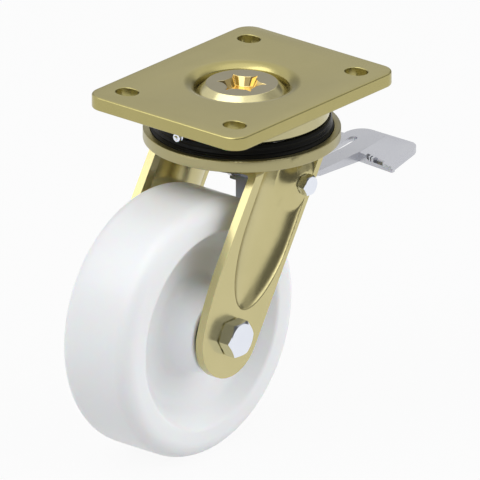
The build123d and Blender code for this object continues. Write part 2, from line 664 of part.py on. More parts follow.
def axle_washer():
    """The washer under the axle nut."""
    hole_r = AXLE_BOLT_R + AXLE_HOLE_PLAY
    return at_axle(ring_on_x(AXLE_WASHER_R, hole_r, -FORK_HALF_X - AXLE_WASHER_T, -FORK_HALF_X))


def axle_nut():
    """The nut on the axle bolt."""
    seat_x = -FORK_HALF_X - AXLE_WASHER_T
    return nut_on_x(AXLE_BOLT_R + FIT, AXLE_HEAD_AF, AXLE_NUT_H, seat_x, AXLE_Y, AXLE_Z)


def pivot_bolt():
    """The bolt that the pedal turns about."""
    end_x = -FORK_HALF_X - PIVOT_NUT_H - PIVOT_BOLT_STICK_OUT
    return bolt_on_x(PIVOT_BOLT_R, PIVOT_HEAD_AF, PIVOT_HEAD_H, FORK_HALF_X, end_x, PIVOT_Y, PIVOT_Z)


def pivot_nut():
    """The nut on the pivot bolt."""
    return nut_on_x(PIVOT_BOLT_R + FIT, PIVOT_HEAD_AF, PIVOT_NUT_H, -FORK_HALF_X, PIVOT_Y, PIVOT_Z)


def pivot_sleeve():
    """The tube between the fork's bosses that the pedal's ears turn on."""
    return tube_on_x(PIVOT_SLEEVE_R, PIVOT_BOLT_R + FIT, -BOSS_IN_X, BOSS_IN_X, PIVOT_Y, PIVOT_Z)


def pivot_spacer(side):
    """Holds the pedal in the middle of the fork."""
    spacer = tube_on_x(PIVOT_SPACER_R, PIVOT_SLEEVE_R + FIT, SPACER_IN_X, BOSS_IN_X, PIVOT_Y, PIVOT_Z)
    return mirrored(spacer, side)


def spring_washer(side):
    """A dished washer between a spacer and a pedal ear, which gives the pedal its friction."""
    x0 = SPRING_WASHER_X0
    x1 = x0 + SPRING_WASHER_DISH
    inner = PIVOT_SLEEVE_R + FIT
    washer = turned_on_x([
        (x1, inner), (x1 + SPRING_WASHER_T, inner),
        (x0 + SPRING_WASHER_T, PIVOT_SPACER_R), (x0, PIVOT_SPACER_R),
    ])
    return mirrored(Pos(0, PIVOT_Y, PIVOT_Z) * washer, side)


def sheet_profile(points):
    """A strip of sheet seen from the side: the top line, and the same line one sheet lower."""
    top = list(points)
    bottom = [(y, z - SHEET_T) for y, z in points[::-1]]
    return make_face(Polyline(*(top + bottom), close=True))


def toe_height(y):
    """Height of the arm's and toe's top face between the toe's rear edge and its end."""
    share = (y - TOE_REAR_Y) / (TOE_END_Y - TOE_REAR_Y)
    return TOE_REAR_Z + share * (TOE_END_Z - TOE_REAR_Z)


def pedal_blank():
    """The arm's bent strip and the toe's side lobe, before holes and corners."""
    top = [
        (PEDAL_REAR_Y, PEDAL_REAR_Z), (ARM_BEND_Y, ARM_BEND_Z),
        (TOE_REAR_Y, TOE_REAR_Z), (TOE_END_Y, TOE_END_Z),
    ]
    strip = sheet_profile(top)
    bends = [v for v in strip.vertices() if abs(v.X - ARM_BEND_Y) < 0.01]
    strip = fillet(bends, ARM_BEND_R)
    arm = extrude(Plane.YZ.offset(-ARM_HALF_W) * strip, 2 * ARM_HALF_W)
    near = Plane.YZ.offset(ARM_HALF_W - FLANGE_T / 4) * sheet_profile(
        [(TOE_REAR_Y, TOE_REAR_Z), (TOE_END_Y, TOE_END_Z)])
    far = Plane.YZ.offset(TOE_REACH_X) * sheet_profile(
        [(TOE_REAR_Y, TOE_REAR_Z - TOE_CORNER_DROP), (TOE_END_Y, TOE_END_Z)])
    return arm + loft([near, far], ruled=True)


def pedal_plan():
    """The pedal seen from above, with the toe's corners rounded."""
    points = [
        (-ARM_HALF_W, PEDAL_REAR_Y), (-ARM_HALF_W, TOE_STEP_Y), (TOE_FAR_X, TOE_STEP_Y),
        (TOE_FAR_X, TOE_END_Y), (TOE_REACH_X, TOE_END_Y), (TOE_REACH_X, TOE_REAR_Y),
        (ARM_HALF_W, TOE_REAR_Y), (ARM_HALF_W, PEDAL_REAR_Y),
    ]
    plan = make_face(Polyline(*points, close=True))

    def corner(x, y):
        return [v for v in plan.vertices() if abs(v.X - x) < 0.01 and abs(v.Y - y) < 0.01]

    plan = fillet(corner(TOE_FAR_X, TOE_END_Y), TOE_FAR_CORNER_R)
    plan = fillet(corner(TOE_REACH_X, TOE_END_Y), TOE_NEAR_CORNER_R)
    return fillet(corner(TOE_REACH_X, TOE_REAR_Y), TOE_REAR_CORNER_R)


def arm_flange(end_y):
    """The turned-down edge of the arm on the +X side, deeper towards its end at the toe."""
    drop = SHEET_T / 2
    points = [
        (FLANGE_START_Y, arm_height(FLANGE_START_Y) - drop),
        (ARM_BEND_Y, ARM_BEND_Z - SHEET_T - FLANGE_BEND_DEPTH), (TOE_REAR_Y, FLANGE_END_Z),
        (end_y, FLANGE_END_Z), (end_y, toe_height(end_y) - drop),
        (TOE_REAR_Y, TOE_REAR_Z - drop), (ARM_BEND_Y, ARM_BEND_Z - drop),
    ]
    if end_y <= TOE_REAR_Y:
        del points[3:5]
    face = make_face(Polyline(*points, close=True))
    return extrude(Plane.YZ.offset(ARM_HALF_W - FLANGE_T) * face, FLANGE_T)


def toe_skirt():
    """The turned-down rear edge of the toe, without its windows."""
    top_in = TOE_REAR_Z - SHEET_T / 2
    top_out = top_in - TOE_CORNER_DROP
    floor_out = TOE_REAR_Z - TOE_CORNER_DROP - SKIRT_END_H
    wall = make_face(Polyline(
        (ARM_HALF_W - FLANGE_T, top_in), (TOE_REACH_X, top_out), (TOE_REACH_X, floor_out),
        (ARM_HALF_W - FLANGE_T, FLANGE_END_Z), close=True))
    return extrude(Plane.XZ.offset(-TOE_REAR_Y) * wall, -FLANGE_T)


def skirt_windows():
    """Cutters of the toe's three rear windows, which open both the skirt and its bend."""
    def rim_z(x):
        fall = TOE_REAR_Z - TOE_CORNER_DROP - SKIRT_END_H - FLANGE_END_Z
        return FLANGE_END_Z + SKIRT_RIM + fall * (x - ARM_HALF_W) / (TOE_REACH_X - ARM_HALF_W)

    top = TOE_REAR_Z + SHEET_T
    left = ARM_HALF_W + SMALL_WINDOW_IN
    right = left + SMALL_WINDOW_W
    bar_top = left + SMALL_WINDOW_TOP_W
    bar_foot = right - SMALL_WINDOW_FOOT_W
    big_left = right + WINDOW_POST_W
    big_right = big_left + BIG_WINDOW_W
    outlines = [
        [(left, top), (bar_top, top), (bar_foot, rim_z(right)),
         (left + SMALL_WINDOW_CORNER_IN, rim_z(left) + SMALL_WINDOW_CORNER_UP)],
        [(bar_top + WINDOW_BAR_W, top), (right, top), (right, rim_z(right)),
         (bar_foot + WINDOW_BAR_W, rim_z(right))],
        [(big_left, top), (big_right, top), (big_right, rim_z(big_right)), (big_left, rim_z(big_left))],
    ]
    cut_from = Plane.XZ.offset(-TOE_REAR_Y - SKIRT_CUT_DEPTH)
    return [extrude(cut_from * make_face(Polyline(*outline, close=True)), 2 * SKIRT_CUT_DEPTH)
            for outline in outlines]


def pivot_ear():
    """One upright ear of the pedal, with the lock nose that meets the lower race at full press."""
    front = radians(EAR_FRONT_DEG)
    points = [
        (PIVOT_Y - EAR_NOSE_BACK, PIVOT_Z + EAR_NOSE_UP), (PIVOT_Y - EAR_TOP_BACK, PIVOT_Z + EAR_R),
        (PIVOT_Y + EAR_R * cos(front), PIVOT_Z + EAR_R * sin(front)),
        (EAR_FOOT_Y, arm_height(EAR_FOOT_Y) - SHEET_T / 2), (PEDAL_REAR_Y, PEDAL_REAR_Z - SHEET_T),
        (PEDAL_REAR_Y, PEDAL_REAR_Z), (PIVOT_Y - EAR_NOSE_BACK, PIVOT_Z + EAR_NOSE_UP - EAR_NOSE_H),
    ]
    face = make_face(Polyline(*points, close=True)) + Pos(PIVOT_Y, PIVOT_Z) * Circle(EAR_R)
    return extrude(Plane.YZ.offset(ARM_HALF_W - SHEET_T) * face, SHEET_T)


def brake_pedal():
    """Bent sheet pedal: arm, toe with windows, pivot ears, lock noses and the brake tab."""
    depth = -TAB_BOTTOM_Z
    plan = extrude(Pos(0, 0, -depth) * pedal_plan(), depth)
    pedal = pedal_blank() & plan
    pedal = pedal + arm_flange(TOE_REAR_Y) + mirror(arm_flange(TOE_STEP_Y), Plane.YZ) + toe_skirt()
    slot_start = ARM_BEND_Y + PEDAL_SLOT_AHEAD
    slot_end = TOE_END_Y - PEDAL_SLOT_END_BACK
    slot = Rot(0, 0, 90) * SlotOverall(slot_end - slot_start, PEDAL_SLOT_W)
    pedal -= extrude(Pos(PEDAL_SLOT_X, (slot_start + slot_end) / 2, -depth) * slot, depth)
    for window in skirt_windows():
        pedal -= window
    ear = pivot_ear()
    pedal = pedal + ear + mirror(ear, Plane.YZ)
    pedal -= disc_on_x(PIVOT_SLEEVE_R + FIT, -2 * ARM_HALF_W, 2 * ARM_HALF_W, PIVOT_Y, PIVOT_Z)
    tab_h = PEDAL_REAR_Z - SHEET_T / 2 - TAB_BOTTOM_Z
    tab = Pos(0, TAB_BOTTOM_Z + tab_h / 2) * Rectangle(2 * TAB_HALF_W, tab_h)
    tab = fillet(tab.vertices().sort_by(Axis.Y)[:2], TAB_CORNER_R)
    return pedal + extrude(Plane.XZ.offset(-PEDAL_REAR_Y) * tab, -SHEET_T)


def arm_height(y):
    """Height of the arm's top face between its rear end and its bend."""
    share = (y - PEDAL_REAR_Y) / (ARM_BEND_Y - PEDAL_REAR_Y)
    return PEDAL_REAR_Z + share * (ARM_BEND_Z - PEDAL_REAR_Z)


def press_angle():
    """The pedal's travel in degrees, from rest until its brake tab is just off the tread."""
    to_axle = (AXLE_Y - PIVOT_Y, AXLE_Z - PIVOT_Z)
    to_tab = (PEDAL_REAR_Y - PIVOT_Y, TAB_BOTTOM_Z - PIVOT_Z)
    far = hypot(*to_axle)
    near = hypot(*to_tab)
    stop = WHEEL_R + PRESS_STOP_GAP
    meet = acos((far ** 2 + near ** 2 - stop ** 2) / (2 * far * near))
    between = atan2(to_tab[1], to_tab[0]) - atan2(to_axle[1], to_axle[0])
    return degrees(between - meet)


def all_parts():
    """Every node of the castor by name."""
    parts = {
        "top_plate": top_plate(),
        "upper_race": upper_race(),
        "kingpin": kingpin(),
        "lower_race": lower_race(),
        "grease_nipple": grease_nipple(),
        "upper_balls": ball_row(UPPER_BALLS, UPPER_BALL_R, UPPER_PITCH_R, UPPER_BALL_Z),
        "lower_balls": ball_row(LOWER_BALLS, LOWER_BALL_R, LOWER_PITCH_R, LOWER_BALL_Z),
        "swivel_ring": swivel_ring(),
        "swivel_seal": swivel_seal(),
        "fork": fork(),
        "wheel": wheel(),
        "axle_tube": axle_tube(),
        "inner_spacer": inner_spacer(),
        "axle_bolt": axle_bolt(),
        "axle_washer": axle_washer(),
        "axle_nut": axle_nut(),
        "pivot_bolt": pivot_bolt(),
        "pivot_nut": pivot_nut(),
        "pivot_sleeve": pivot_sleeve(),
        "brake_pedal": brake_pedal(),
    }
    for side, word in ((1, "right"), (-1, "left")):
        parts["bearing_inner_ring_" + word] = bearing_inner_ring(side)
        parts["bearing_outer_ring_" + word] = bearing_outer_ring(side)
        parts["bearing_balls_" + word] = bearing_balls(side)
        parts["bearing_shields_" + word] = bearing_shields(side)
        parts["hub_washer_" + word] = hub_washer(side)
        parts["pivot_spacer_" + word] = pivot_spacer(side)
        parts["spring_washer_" + word] = spring_washer(side)
    return parts


os.makedirs("parts", exist_ok=True)
for name, shape in all_parts().items():
    export_step(shape, "parts/" + name + ".step")
print("pedal pivot at", round(PIVOT_Y, 3), round(PIVOT_Z, 3), "travel", round(press_angle(), 2), "degrees")
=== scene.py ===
"""Looks of a heavy duty swivel castor with a foot brake: finishes, detailed pieces, light and camera.

All sizes are millimetres until a mesh is made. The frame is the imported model's: the origin is on
the swivel axis at the plate's top face, +Z is up, +X runs along the axle and +Y to the foot pedal.
"""

from __future__ import annotations

import logging
import math
from collections.abc import Callable
from dataclasses import dataclass
from enum import Enum

import bmesh
import bpy
from mathutils import Matrix, Vector

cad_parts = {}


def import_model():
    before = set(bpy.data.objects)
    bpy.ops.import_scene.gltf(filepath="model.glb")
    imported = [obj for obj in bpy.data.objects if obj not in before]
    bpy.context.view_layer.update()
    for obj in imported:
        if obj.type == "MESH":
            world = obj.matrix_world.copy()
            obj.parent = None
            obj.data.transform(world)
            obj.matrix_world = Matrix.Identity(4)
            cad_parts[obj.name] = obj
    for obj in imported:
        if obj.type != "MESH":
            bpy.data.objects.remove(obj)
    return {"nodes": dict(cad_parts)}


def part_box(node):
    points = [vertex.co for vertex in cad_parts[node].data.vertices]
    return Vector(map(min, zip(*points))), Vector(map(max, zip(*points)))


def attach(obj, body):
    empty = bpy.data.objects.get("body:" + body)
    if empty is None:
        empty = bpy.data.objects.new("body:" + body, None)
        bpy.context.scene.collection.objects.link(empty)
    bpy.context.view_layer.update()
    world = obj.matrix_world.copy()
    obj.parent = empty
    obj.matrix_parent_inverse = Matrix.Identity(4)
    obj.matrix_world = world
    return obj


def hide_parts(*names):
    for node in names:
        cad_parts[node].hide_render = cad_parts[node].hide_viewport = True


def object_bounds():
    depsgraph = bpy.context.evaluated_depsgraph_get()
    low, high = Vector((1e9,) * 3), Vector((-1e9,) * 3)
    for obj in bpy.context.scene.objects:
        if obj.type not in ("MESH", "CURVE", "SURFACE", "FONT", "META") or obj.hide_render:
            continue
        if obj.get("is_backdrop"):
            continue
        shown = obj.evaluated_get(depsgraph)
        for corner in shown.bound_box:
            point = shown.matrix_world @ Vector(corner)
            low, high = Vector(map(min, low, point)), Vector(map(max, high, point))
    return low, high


LOG = logging.getLogger("castor")
MM = 0.001
SOFT_LAYER = "soft"
WELD = 1e-3
FLAT_DEG = 0.4
ROLLED_DEG = 28.0
SMOOTH_DEG = 32.0
NODE_SMOOTH_DEG = 30.0

Point = tuple[float, float]
Colour = tuple[float, float, float]
Width = Callable[[bmesh.types.BMEdge], float]
Region = Callable[[bmesh.types.BMFace], int]
Shape = Callable[[bmesh.types.BMesh], None]
Fed = bpy.types.NodeSocket | float | tuple[float, ...] | Vector


class Axis(Enum):
    """The line that a turned piece is turned about, as the turn that lays Z along it."""

    SWIVEL = (0, "Z")
    AXLE = (90, "Y")
    NIPPLE = (90, "X")


class Side(Enum):
    """The two sides of the wheel, as the nodes' names give them."""

    RIGHT = "right"
    LEFT = "left"


def linear(colour: Colour) -> tuple[float, float, float, float]:
    """Turn a screen colour of 0 to 255 values into a shader colour.

    Args:
        colour: Red, green and blue as they show on a screen.

    Returns:
        Linear red, green, blue and an alpha of one.
    """
    out = []
    for value in colour:
        share = value / 255.0
        out.append(share / 12.92 if share <= 0.04045 else ((share + 0.055) / 1.055) ** 2.4)
    return out[0], out[1], out[2], 1.0


# Nodes and finishes


def feed(tree: bpy.types.NodeTree, socket: bpy.types.NodeSocket, value: Fed) -> None:
    """Link a socket to another, or set it to a plain value.

    Args:
        tree: The nodes that it belongs to.
        socket: The input to feed.
        value: What goes in.
    """
    if isinstance(value, bpy.types.NodeSocket):
        tree.links.new(value, socket)
    else:
        socket.default_value = value


def add_node(tree: bpy.types.NodeTree, kind: str, **values: Fed) -> bpy.types.Node:
    """Add a node and feed its inputs by name.

    Args:
        tree: The nodes to add to.
        kind: The node's kind, without the words that all share.
        values: What goes into each input, with _ for a blank in its name.

    Returns:
        The new node.
    """
    node = tree.nodes.new("ShaderNode" + kind)
    for name, value in values.items():
        feed(tree, node.inputs[name.replace("_", " ")], value)
    return node


def through(tree: bpy.types.NodeTree, kind: str, *values: Fed, step: str = "") -> bpy.types.NodeSocket:
    """Pass values through a new node.

    Args:
        tree: The nodes to add to.
        kind: The node's kind, without the words that all share.
        values: What goes into its inputs, in order.
        step: What a maths node does, such as ADD.

    Returns:
        Its first output.
    """
    node = add_node(tree, kind)
    if step:
        node.operation = step
    for socket, value in zip(node.inputs, values):
        feed(tree, socket, value)
    return node.outputs[0]


@dataclass(frozen=True)
class Finish:
    """A finish with a base colour, a soft mottle in it, and a fine surface grain.

    Attributes:
        name: Name of the material.
        colour: Screen colour of the surface.
        mottle: Screen colour of the patches that vary it.
        mottle_scale: Patches per metre.
        mottle_share: How far the patches reach towards the mottle colour.
        metallic: Share of metal in the surface.
        roughness: Mean roughness.
        roughness_spread: How much the roughness varies over the surface.
        grain_scale: Grains per metre.
        grain_depth: Height of the grain in millimetres.
        gloss: Specular level of the surface where it isn't metal.
        light_in: Share of the light that goes under the surface.
        light_depth: How far it travels there, in millimetres.
    """

    name: str
    colour: Colour
    mottle: Colour
    mottle_scale: float = 60.0
    mottle_share: float = 0.5
    metallic: float = 0.0
    roughness: float = 0.4
    roughness_spread: float = 0.05
    grain_scale: float = 1500.0
    grain_depth: float = 0.004
    gloss: float = 0.5
    light_in: float = 0.0
    light_depth: float = 2.0

    def material(self) -> bpy.types.Material:
        """Build the node material, or give the one that was built before.

        Returns:
            The finished material.
        """
        known = bpy.data.materials.get(self.name)
        if known:
            return known
        made = bpy.data.materials.new(self.name)
        made.use_nodes = True
        made.diffuse_color = linear(self.colour)
        tree = made.node_tree
        place = add_node(tree, "TexCoord").outputs["Object"]
        patches = add_node(tree, "TexNoise", Vector=place, Scale=self.mottle_scale, Detail=3.0)
        share = add_node(tree, "MapRange", Value=patches.outputs["Fac"], From_Min=0.35, From_Max=0.75,
                         To_Max=self.mottle_share)
        blend = tree.nodes.new("ShaderNodeMix")
        blend.data_type = "RGBA"
        feed(tree, blend.inputs["Factor"], share.outputs["Result"])
        feed(tree, blend.inputs["A"], linear(self.colour))
        feed(tree, blend.inputs["B"], linear(self.mottle))
        dull = add_node(tree, "MapRange", Value=patches.outputs["Fac"],
                        To_Min=self.roughness - self.roughness_spread,
                        To_Max=self.roughness + self.roughness_spread)
        grain = add_node(tree, "TexNoise", Vector=place, Scale=self.grain_scale)
        bump = add_node(tree, "Bump", Height=grain.outputs["Fac"], Strength=0.5,
                        Distance=self.grain_depth * MM)
        shader = tree.nodes["Principled BSDF"].inputs
        feed(tree, shader["Base Color"], blend.outputs["Result"])
        feed(tree, shader["Roughness"], dull.outputs["Result"])
        feed(tree, shader["Normal"], bump.outputs["Normal"])
        shader["Metallic"].default_value = self.metallic
        shader["Specular IOR Level"].default_value = self.gloss
        shader["Subsurface Weight"].default_value = self.light_in
        shader["Subsurface Scale"].default_value = self.light_depth * MM
        return made


PLATE_ZINC = Finish("plate_zinc", (176, 166, 110), (171, 162, 106), metallic=0.9, roughness=0.23)
KINGPIN_ZINC = Finish("kingpin_zinc", (205, 196, 150), (196, 188, 140), metallic=0.9, roughness=0.22)
# A darker, duller copy of the kingpin's own zinc for its flat face: painted shade that stands in for the
# dark reflection on that face.
HEAD_FACE_PAINTED_SHADE_ZINC = Finish("head_face_painted_shade_zinc", (158, 150, 122), (150, 143, 116), metallic=0.85, roughness=0.3)
PUNCHED_ZINC = Finish("punched_zinc", (226, 202, 138), (216, 188, 118), metallic=1.0, roughness=0.2,
                      roughness_spread=0.03)
RACE_ZINC = Finish("race_zinc", (192, 184, 142), (182, 176, 134), metallic=0.9, roughness=0.22)
RING_ZINC = Finish("ring_zinc", (172, 164, 122), (166, 158, 117), metallic=0.85, roughness=0.32)
FORK_ZINC = Finish("fork_zinc", (202, 192, 142), (196, 187, 136), metallic=0.9, roughness=0.24)
BRIGHT_ZINC = Finish("bright_zinc", (232, 236, 244), (226, 229, 240), metallic=1.0, roughness=0.14,
                     roughness_spread=0.03)
PEDAL_ZINC = Finish("pedal_zinc", (200, 201, 206), (194, 195, 203), metallic=0.9, roughness=0.26)
GROUND_STEEL = Finish("ground_steel", (176, 178, 182), (166, 168, 172), metallic=0.95, roughness=0.25)
BALL_STEEL = Finish("ball_steel", (206, 208, 212), (200, 202, 206), metallic=1.0, roughness=0.1,
                    roughness_spread=0.02)
SEAL_RUBBER = Finish("swivel_seal_rubber", (20, 20, 19), (16, 16, 15), roughness=0.3, grain_depth=0.003,
                     gloss=0.1)
WHEEL_NYLON = Finish("wheel_nylon", (245, 246, 248), (244, 245, 247), mottle_scale=25.0, roughness=0.28,
                     roughness_spread=0.01, grain_scale=900.0, light_in=0.3)


# Mesh making


@dataclass(frozen=True)
class Corner:
    """One corner of an outline, with the radius that rounds it off.

    Attributes:
        u: First coordinate: a radius on a turned piece.
        v: Second coordinate: the place along the axis on a turned piece.
        radius: Fillet radius, or nought for a sharp corner.
        steps: Steps laid along the fillet.
    """

    u: float
    v: float
    radius: float = 0.0
    steps: int = 6


def rounded(corners: list[Corner]) -> list[Point]:
    """Lay points round a closed outline, with an arc at each rounded corner.

    Args:
        corners: The outline's corners in order.

    Returns:
        The points of the outline.
    """
    points: list[Point] = []
    for index, corner in enumerate(corners):
        if corner.radius <= 0:
            points.append((corner.u, corner.v))
            continue
        here = Vector((corner.u, corner.v))
        before, after = corners[index - 1], corners[(index + 1) % len(corners)]
        back = (Vector((before.u, before.v)) - here).normalized()
        ahead = (Vector((after.u, after.v)) - here).normalized()
        half = math.acos(max(-1.0, min(1.0, back.dot(ahead)))) / 2
        centre = here + (back + ahead).normalized() * (corner.radius / math.sin(half))
        start = here + back * (corner.radius / math.tan(half)) - centre
        end = here + ahead * (corner.radius / math.tan(half)) - centre
        sweep = math.atan2(start.x * end.y - start.y * end.x, start.dot(end))
        for step in range(corner.steps + 1):
            turn = sweep * step / corner.steps
            c, s = math.cos(turn), math.sin(turn)
            points.append((centre.x + start.x * c - start.y * s, centre.y + start.x * s + start.y * c))
    return points


def finish_mesh(name: str, mesh: bmesh.types.BMesh, finishes: list[Finish],
                sharp: float = SMOOTH_DEG) -> bpy.types.Object:
    """Turn built geometry, in millimetres, into a smooth shaded object with its finishes.

    Args:
        name: Name of the piece.
        mesh: The geometry, which is freed.
        finishes: The finishes, in the order of the faces' material numbers.
        sharp: Edges over this angle in degrees stay sharp.

    Returns:
        The new object, linked to the scene.
    """
    bmesh.ops.scale(mesh, vec=(MM, MM, MM), verts=mesh.verts)
    soft = mesh.faces.layers.int.get(SOFT_LAYER)
    for face in mesh.faces:
        face.smooth = True
    for edge in mesh.edges:
        within = soft and all(face[soft] for face in edge.link_faces)
        edge.smooth = bool(within) or edge.calc_face_angle(0.0) < math.radians(sharp)
    data = bpy.data.meshes.new(name)
    mesh.to_mesh(data)
    mesh.free()
    for finish in finishes:
        data.materials.append(finish.material())
    piece = bpy.data.objects.new(name, data)
    bpy.context.scene.collection.objects.link(piece)
    return piece


def axis_place(axis: Axis, origin: Vector) -> Matrix:
    """The local frame of a turned piece, whose own axis is Z.

    Args:
        axis: The line it is turned about.
        origin: A point on that line, in millimetres.

    Returns:
        The matrix from the piece's own frame to the castor's.
    """
    degrees, letter = axis.value
    return Matrix.Translation(origin) @ Matrix.Rotation(math.radians(degrees), 4, letter)


@dataclass(frozen=True)
class Ring:
    """One ring of a turned piece, round or with six flats.

    Attributes:
        radius: Radius, or on a hexagon the radius that its corners are turned off to.
        height: Place along the piece's own axis.
        flats: Width across the flats, or nought for a round ring.
        slope: How fast the turned-off corners fall away outside the radius.
    """

    radius: float
    height: float
    flats: float = 0.0
    slope: float = 0.0

    def spot(self, angle: float) -> Vector:
        """The ring's point at an angle.

        Args:
            angle: The angle in radians.

        Returns:
            The point in the piece's own frame.
        """
        reach = self.radius
        if self.flats:
            sixth = math.radians(60)
            reach = self.flats / 2 / math.cos((angle - sixth / 2) % sixth - sixth / 2)
        fall = self.slope * max(0.0, reach - self.radius)
        return Vector((reach * math.cos(angle), reach * math.sin(angle), self.height - fall))


def turned(name: str, rings: list[Ring], segments: int, place: Matrix, finish: Finish,
           sharp: float = SMOOTH_DEG) -> bpy.types.Object:
    """A solid laid round its axis through closed rings.

    Args:
        name: Name of the piece.
        rings: The rings in order. One on the axis has a radius of nought.
        segments: Steps round the axis.
        place: The matrix from the piece's own frame to the castor's.
        finish: The finish of all its faces.
        sharp: Edges over this angle in degrees stay sharp.

    Returns:
        The new object.
    """
    mesh = bmesh.new()
    laid = []
    for ring in rings:
        steps = 1 if ring.radius < WELD and not ring.flats else segments
        angles = [2 * math.pi * index / segments for index in range(steps)]
        laid.append([mesh.verts.new(place @ ring.spot(angle)) for angle in angles])
    for first, second in zip(laid, laid[1:] + laid[:1]):
        if len(first) == 1 and len(second) == 1:
            continue
        for index in range(segments):
            after = (index + 1) % segments
            corners = [first[index % len(first)], second[index % len(second)]]
            if len(second) > 1:
                corners.append(second[after])
            if len(first) > 1:
                corners.append(first[after])
            mesh.faces.new(corners)
    bmesh.ops.recalc_face_normals(mesh, faces=mesh.faces)
    return finish_mesh(name, mesh, [finish], sharp)


def round_rings(outline: list[Point]) -> list[Ring]:
    """Round rings through the points of an outline."""
    return [Ring(radius, height) for radius, height in outline]


# Sub-assemblies


@dataclass
class Castor:
    """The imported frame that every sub-assembly is built on.

    Attributes:
        nodes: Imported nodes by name.
    """

    nodes: dict[str, bpy.types.Object]

    def box(self, name: str) -> tuple[Vector, Vector]:
        """A node's lowest and highest corners at rest, in millimetres."""
        low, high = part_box(name)
        return Vector(low) / MM, Vector(high) / MM

    def middle(self, name: str) -> Vector:
        """The middle of a node's box, in millimetres."""
        low, high = self.box(name)
        return (low + high) / 2

    def dress(self, finish: Finish, *names: str) -> None:
        """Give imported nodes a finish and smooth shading.

        Args:
            finish: The finish.
            names: The nodes.
        """
        for name in names:
            data = self.nodes[name].data
            data.materials.clear()
            data.materials.append(finish.material())
            data.shade_smooth()
            data.set_sharp_from_angle(angle=math.radians(NODE_SMOOTH_DEG))
            LOG.info("%s, %s", name, finish.name)

    def stand_in(self, piece: bpy.types.Object, body: str, slot: str, *names: str) -> None:
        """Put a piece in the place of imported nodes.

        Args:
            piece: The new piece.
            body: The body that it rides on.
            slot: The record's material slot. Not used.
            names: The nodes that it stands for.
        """
        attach(piece, body)
        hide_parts(*names)
        LOG.info("%s, for %s", piece.name, " ".join(names))

    def rework(self, name: str, node: str, body: str, slot: str, finishes: list[Finish],
               width: Width | float, region: Region | None = None, shape: Shape | None = None) -> None:
        """Put a copy of a node in its place, with its edges broken by small rolls.

        Args:
            name: Name of the piece.
            node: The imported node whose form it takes.
            body: The body that it rides on.
            slot: The record's material slot.
            finishes: The finishes of its faces.
            width: Width of the rolls in millimetres, or what gives it for an edge.
            region: Gives the number of a face's finish, where there is more than one.
            shape: Works on the copied mesh, in millimetres, before its edges are broken.
        """
        mesh = bmesh.new()
        mesh.from_mesh(self.nodes[node].data)
        bmesh.ops.scale(mesh, vec=(1 / MM, 1 / MM, 1 / MM), verts=mesh.verts)
        bmesh.ops.remove_doubles(mesh, verts=mesh.verts, dist=WELD)
        flat = math.radians(FLAT_DEG)
        bmesh.ops.dissolve_limit(mesh, angle_limit=flat, verts=mesh.verts, edges=mesh.edges)
        soft = mesh.faces.layers.int.new(SOFT_LAYER)
        weight = mesh.edges.layers.float.new("bevel_weight_edge")
        if shape:
            shape(mesh)
        widths = {edge: width(edge) if callable(width) else width for edge in mesh.edges
                  if len(edge.link_faces) == 2 and edge.calc_face_angle(0.0) > math.radians(ROLLED_DEG)
                  and not all(face[soft] for face in edge.link_faces)}
        widest = max(widths.values(), default=1.0)
        if region:
            for face in mesh.faces:
                face.material_index = region(face)
        for edge, wide in widths.items():
            edge[weight] = wide / widest
        piece = finish_mesh(name, mesh, finishes)
        rim = piece.modifiers.new("broken_edges", "BEVEL")
        rim.width = widest * MM
        rim.segments = 3
        rim.limit_method = "WEIGHT"
        rim.harden_normals = True
        self.stand_in(piece, body, slot, node)


@dataclass
class PlateSet:
    """The fixed top plate.

    Attributes:
        edge: Width of its broken edges.
    """

    edge: float = 0.5

    def build(self, castor: Castor) -> None:
        """Make the plate.

        Args:
            castor: The frame to build on.
        """
        castor.rework("plate_pressing", "top_plate", "mount", "plate_finish", [PLATE_ZINC], self.edge)


